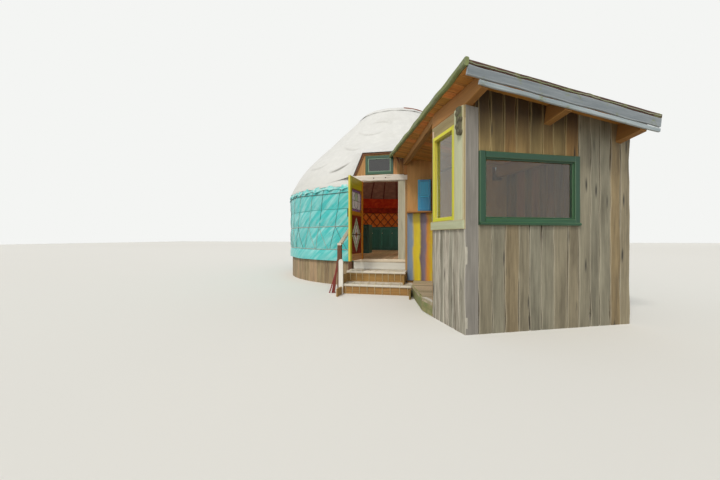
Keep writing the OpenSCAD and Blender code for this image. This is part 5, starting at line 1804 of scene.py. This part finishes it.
def cover_at(a, b):
    """The covering over the boards, with a rolled edge where it turns down all round."""
    y = -FRONT_OVER - OUT + b * (left_back[1] + FRONT_OVER + OUT)
    low, high = left_at(y), right_at(y)
    x = low + (high - low) * a
    near = min((1 - a) * (high - low), b * (left_back[1] + FRONT_OVER + OUT))
    soft = 0.010 * noise.noise(Vector((x * 5, y * 5, 1))) + 0.006 * noise.noise(Vector((x * 17, y * 17, 4)))
    fall = 0.045 * max(0.0, 1 - near / 0.03) ** 2
    return tuple(slope_at(x, y, PURLIN_H + SOFFIT_T + COVER_T + soft - fall - 0.004))


edge_steps = [0.0, 0.002, 0.005, 0.009, 0.014]
cover_columns = edge_steps + spread(0.02, 0.98, 0.012) + [1 - e for e in reversed(edge_steps)]
cover_rows = edge_steps + spread(0.02, 1.0, 0.010)
covering = sheet(
    "mossy_covering", cover_columns, cover_rows, cover_at, lambda a, b: (a * 2.5, b * 3.5), moss, "house",
    ("roof_covering",),
)
under_top = PURLIN_H + SOFFIT_T
LIP_UP, LIP_H, LIP_T = 0.046, 0.045, 0.02
dark_edge = timber("dark_edge_board", "#5C3A2C", "#33201A", "#7A5340", knots=0.3, blotch=0.5, moss=0.25)
edge_len = right_edge + LEFT_OVER / tilt
front_edge = [
    board(
        slope_at(-LEFT_OVER / tilt + 0.001, -FRONT_OVER - EDGE_T, under_top + LIP_UP), down_slope,
        -off_slope, (edge_len, LIP_H, LIP_T), wane=0.004, rng=rng, step=0.12,
    )
]
start = slope_at(right_edge - LIP_T, right_back, under_top + LIP_UP)
end = slope_at(right_edge - LIP_T, -FRONT_OVER, under_top + LIP_UP)
front_edge.append(
    board(
        start, end - start, -off_slope, ((end - start).length, LIP_H, LIP_T), wane=0.004, rng=rng,
        step=0.15,
    )
)
piece("dark_edge_boards", front_edge, dark_edge, "house")
silver = timber(
    "silver_boards", "#B6C0C4", "#727F86", "#D3DADD", knots=0.5, blotch=0.5, relief=0.0018, moss=0.12,
)
VERGE_H, LOWER_H, LOWER_IN, VERGE_GAP = 0.108, 0.045, 0.15, 0.016
verges = [
    board(
        slope_at(-LEFT_OVER / tilt, -FRONT_OVER - EDGE_T, under_top), down_slope, -off_slope,
        (edge_len, VERGE_H, EDGE_T), wane=0.016, bevel=0.004, rng=rng, step=0.1,
    ),
    board(
        slope_at(LOWER_IN - LEFT_OVER / tilt, -FRONT_OVER - EDGE_T, under_top - VERGE_H - VERGE_GAP),
        down_slope, -off_slope, (edge_len - LOWER_IN, LOWER_H, EDGE_T), wane=0.010, bevel=0.004, rng=rng,
        step=0.1,
    ),
]
piece("front_verge_boards", verges, silver, "house", ("verge_boards",))
lichen = timber(
    "lichen_board", "#9AA486", "#5D674A", "#B5BCA0", knots=0.4, blotch=0.5, relief=0.002, moss=0.75,
)
SIDE_H, SIDE_T = 0.09, 0.05
start = slope_at(-(LEFT_OVER + SIDE_T) / tilt, -FRONT_OVER - EDGE_T, PURLIN_H)
end = slope_at(left_at(left_back[1]) - SIDE_T / tilt, left_back[1], PURLIN_H)
side = board(
    start, end - start, off_slope, ((end - start).length, SIDE_H, SIDE_T), wane=0.03, bevel=0.012, rng=rng,
    step=0.07,
)
piece("left_edge_board", [side], lichen, "house", ("roof_side_board",))

# Porch
# Worn boards between the steps and the cabin, and a back wall of tan board with a washed
# panel of plain colours, a shelf over it, and a blue cupboard. Filler boards close the
# head of the porch beside the dormer, and laths a notch beside the right purlin.
rng = random.Random(91)
porch_wood = timber(
    "porch_boards", "#D6C8AE", "#94805F", "#E9DFC8", along=(0, 0, 0), plank=0.14, blotch=0.5, rough=0.6,
)
dress(porch_wood, "porch_floor")
edge_wood = timber("mossy_edge_board", "#B9B183", "#7C7748", "#D0CAA0", blotch=0.5, knots=0.3, moss=0.55)
edge = []
for start, end in (((0.742, -4.06), (0.955, -5.27)), ((0.955, -5.27), (1.092, -5.585))):
    a, b = Vector((*start, porch_top + 0.004)), Vector((*end, porch_top + 0.004))
    edge.append(board(a, b - a, DOWN, ((b - a).length, porch_top, 0.03), wane=0.004, rng=rng, step=0.12))
piece("porch_edge_board", edge, edge_wood, "house")
pale_strip = board(
    a, b - a, Vector((1, 0, 0)), ((b - a).length - 0.01, 0.07, 0.018), wane=0.003, rng=rng, step=0.12,
)
piece("porch_white_board", [pale_strip], white_wood, "house")
chip = timber(
    "tan_wall_board", "#DFA868", "#AE773C", "#E9C08A", along=(0, 90, 0), knots=0.5, blotch=0.5, spread=0.5,
)
dress(chip, "cabin_wall_back")
# The filler boards darken towards the top with painted shade under the roof boards.
filler_wood = timber(
    "porch_filler_wood", "#C88A4A", "#7E4E22", "#D9AE76", blotch=0.45, knots=0.6,
    painted_shade_from=(2.60, 2.74, 0.7, "#6E4422"),
)
FILLER_TOP, FILLER_T = 2.762, 0.024
filler = []
for x0, x1, foot in ((0.440, 0.530, 2.445), (0.532, back_low.x + 0.012, beam_high.z - 0.02)):
    filler.append(
        board(
            (x0, beam_low.y - FILLER_T, foot), UP, (1, 0, 0), (FILLER_TOP - foot, x1 - x0, FILLER_T),
            wane=0.002, bevel=0.004, rng=rng, step=0.1,
        )
    )
LATH_X, LATH_Z, LATH_W, LATH_T = 2.285, 2.225, 0.062, 0.015
laths = []
for x, along, across, size in ((LATH_X, UP, (1, 0, 0), 0.27), (LATH_X + LATH_W, (1, 0, 0), UP, 0.11)):
    foot = (x, back_low.y - LATH_T, LATH_Z)
    laths.append(
        board(foot, along, across, (size, LATH_W, LATH_T), wane=0.002, bevel=0.002, rng=rng, step=0.1)
    )
piece("purlin_notch_laths", laths, inner_brown, "house")
piece("porch_filler_boards", filler, filler_wood, "house")


def washed(name, low_x, high_x):
    """Plain upright washes of colour brushed side by side on a board, with no picture in them."""
    made, tree = bare(name)
    where = put(tree, "ShaderNodeTexCoord").outputs["Object"]
    parts = put(tree, "ShaderNodeSeparateXYZ", {0: where})
    flow = put(tree, "ShaderNodeVectorMath", {0: where, 1: (3.0, 1.0, 1.2)}, operation="MULTIPLY").outputs[0]
    cloud = put(
        tree, "ShaderNodeTexNoise", {"Vector": flow, "Scale": 1.6, "Detail": 6.0, "Distortion": 1.4},
    ).outputs["Fac"]
    sway = put(tree, "ShaderNodeMath", {0: cloud, 1: 0.10}, operation="MULTIPLY").outputs[0]
    across = put(tree, "ShaderNodeMath", {0: parts.outputs["X"], 1: sway}).outputs[0]
    share = put(
        tree, "ShaderNodeMapRange", {"Value": across, "From Min": low_x + 0.05, "From Max": high_x + 0.05}
    ).outputs[0]
    ramp = put(tree, "ShaderNodeValToRGB", {"Fac": share})
    stops = (
        (0.0, "#6F8199"), (0.17, "#8293A8"), (0.24, "#DDBE14"), (0.41, "#E6D01C"), (0.48, "#6E5C60"),
        (0.62, "#857688"), (0.70, "#D98E34"), (0.83, "#DDBE14"), (0.90, "#7E93A8"), (1.0, "#5E7592"),
    )
    while len(ramp.color_ramp.elements) < len(stops):
        ramp.color_ramp.elements.new(0.5)
    for element, (at, colour) in zip(ramp.color_ramp.elements, stops):
        element.position = at
        element.color = paint(colour)
    brush = put(
        tree, "ShaderNodeVectorMath", {0: where, 1: (190.0, 1.0, 6.0)}, operation="MULTIPLY",
    ).outputs[0]
    hair = put(tree, "ShaderNodeTexNoise", {"Vector": brush, "Scale": 1.0, "Detail": 3.0}).outputs["Fac"]
    tone = put(tree, "ShaderNodeMapRange", {"Value": hair, "To Min": 0.82, "To Max": 1.15}).outputs[0]
    shade = put(tree, "ShaderNodeHueSaturation", {"Value": tone, "Color": ramp.outputs[0]}).outputs[0]
    bump = put(tree, "ShaderNodeBump", {"Height": hair, "Distance": 0.0006, "Strength": 0.7})
    skin = put(
        tree, "ShaderNodeBsdfPrincipled",
        {"Base Color": shade, "Roughness": 0.4, "IOR": 1.5, "Normal": bump.outputs[0]},
    )
    put(tree, "ShaderNodeOutputMaterial", {"Surface": skin.outputs[0]})
    return made


panel_low, panel_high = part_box("painted_panel")
PANEL_T, SHELF_T = 0.03, 0.03
panel_face = board(
    (panel_low.x + 0.003, BACK_Y - PANEL_T, panel_low.z + 0.002), UP, (1, 0, 0),
    (panel_high.z - panel_low.z - SHELF_T - 0.004, panel_high.x - panel_low.x - 0.006, PANEL_T), rng=rng,
)
piece(
    "washed_panel", [panel_face], washed("washed_colours", panel_low.x, panel_high.x), "house",
    ("painted_panel",),
)
shelf = board(
    (panel_low.x, panel_low.y, panel_high.z - SHELF_T), (1, 0, 0), (0, 1, 0),
    (panel_high.x - panel_low.x, panel_high.y - panel_low.y, SHELF_T), wane=0.003, rng=rng,
)
piece("porch_shelf", [shelf], beam_wood, "house")
blue = timber(
    "blue_paint", "#22ABD8", "#1482B0", "#6FB0C4", knots=0.0, blotch=0.6, rough=0.36, relief=0.0005,
    wear=0.6,
)
cup_low, cup_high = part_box("wall_cupboard")
carcass = [
    board(
        (cup_low.x, cup_low.y + 0.02, cup_low.z), UP, (1, 0, 0),
        (cup_high.z - cup_low.z, cup_high.x - cup_low.x, cup_high.y - cup_low.y - 0.02), bevel=0.004,
        rng=rng,
    )
]
half = (cup_high.z - cup_low.z) / 2
for k in range(2):
    foot = Vector((cup_low.x + 0.003, cup_low.y, cup_low.z + 0.003 + k * half))
    carcass += sash(
        foot, (1, 0, 0), cup_high.x - cup_low.x - 0.006, half - 0.006, 0.04, 0.019, rng, bevel=0.003,
    )
    carcass.append(
        board(
            foot + Vector((0.038, 0.009, 0.038)), UP, (1, 0, 0),
            (half - 0.082, cup_high.x - cup_low.x - 0.082, 0.010), rng=rng,
        )
    )
piece("blue_cupboard", carcass, blue, "house", ("wall_cupboard",))

# Cabinets inside
# Painted fronts with a rail, a stile and a pale knob on each door, under a worn top.
rng = random.Random(101)
teal = timber(
    "cabinet_paint", "#347A70", "#225A54", "#6C948A", along=(0, 90, 0), knots=0.0, blotch=0.6, rough=0.45,
)
dress(teal, "inner_counter")
counter_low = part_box("inner_counter")[0]
DOOR_W, DOOR_H, DOOR_T, KNOB_UP = 0.36, 0.74, 0.014, 0.62
doors, knobs = [], []
for x, y, wide in ((-1.055, 1.60, 1.09), (-1.235, -0.82, 0.55)):
    count = max(1, round(wide / DOOR_W))
    for k in range(count):
        a = x + wide * k / count + 0.006
        doors += sash(
            (a, y - DOOR_T, counter_low.z + 0.06), (1, 0, 0), wide / count - 0.012, DOOR_H, 0.05, DOOR_T,
            rng, bevel=0.003,
        )
        knobs.append(knob((a + 0.05, y - DOOR_T, counter_low.z + KNOB_UP), (0, -1, 0), 0.014, 0.02))
front_paint = timber(
    "cabinet_front_paint", "#3A8378", "#27625C", "#749C92", knots=0.0, blotch=0.6, rough=0.42,
)
piece("cabinet_fronts", doors, front_paint, "house")
piece("cabinet_knobs", knobs, white_wood, "house", smooth=True)
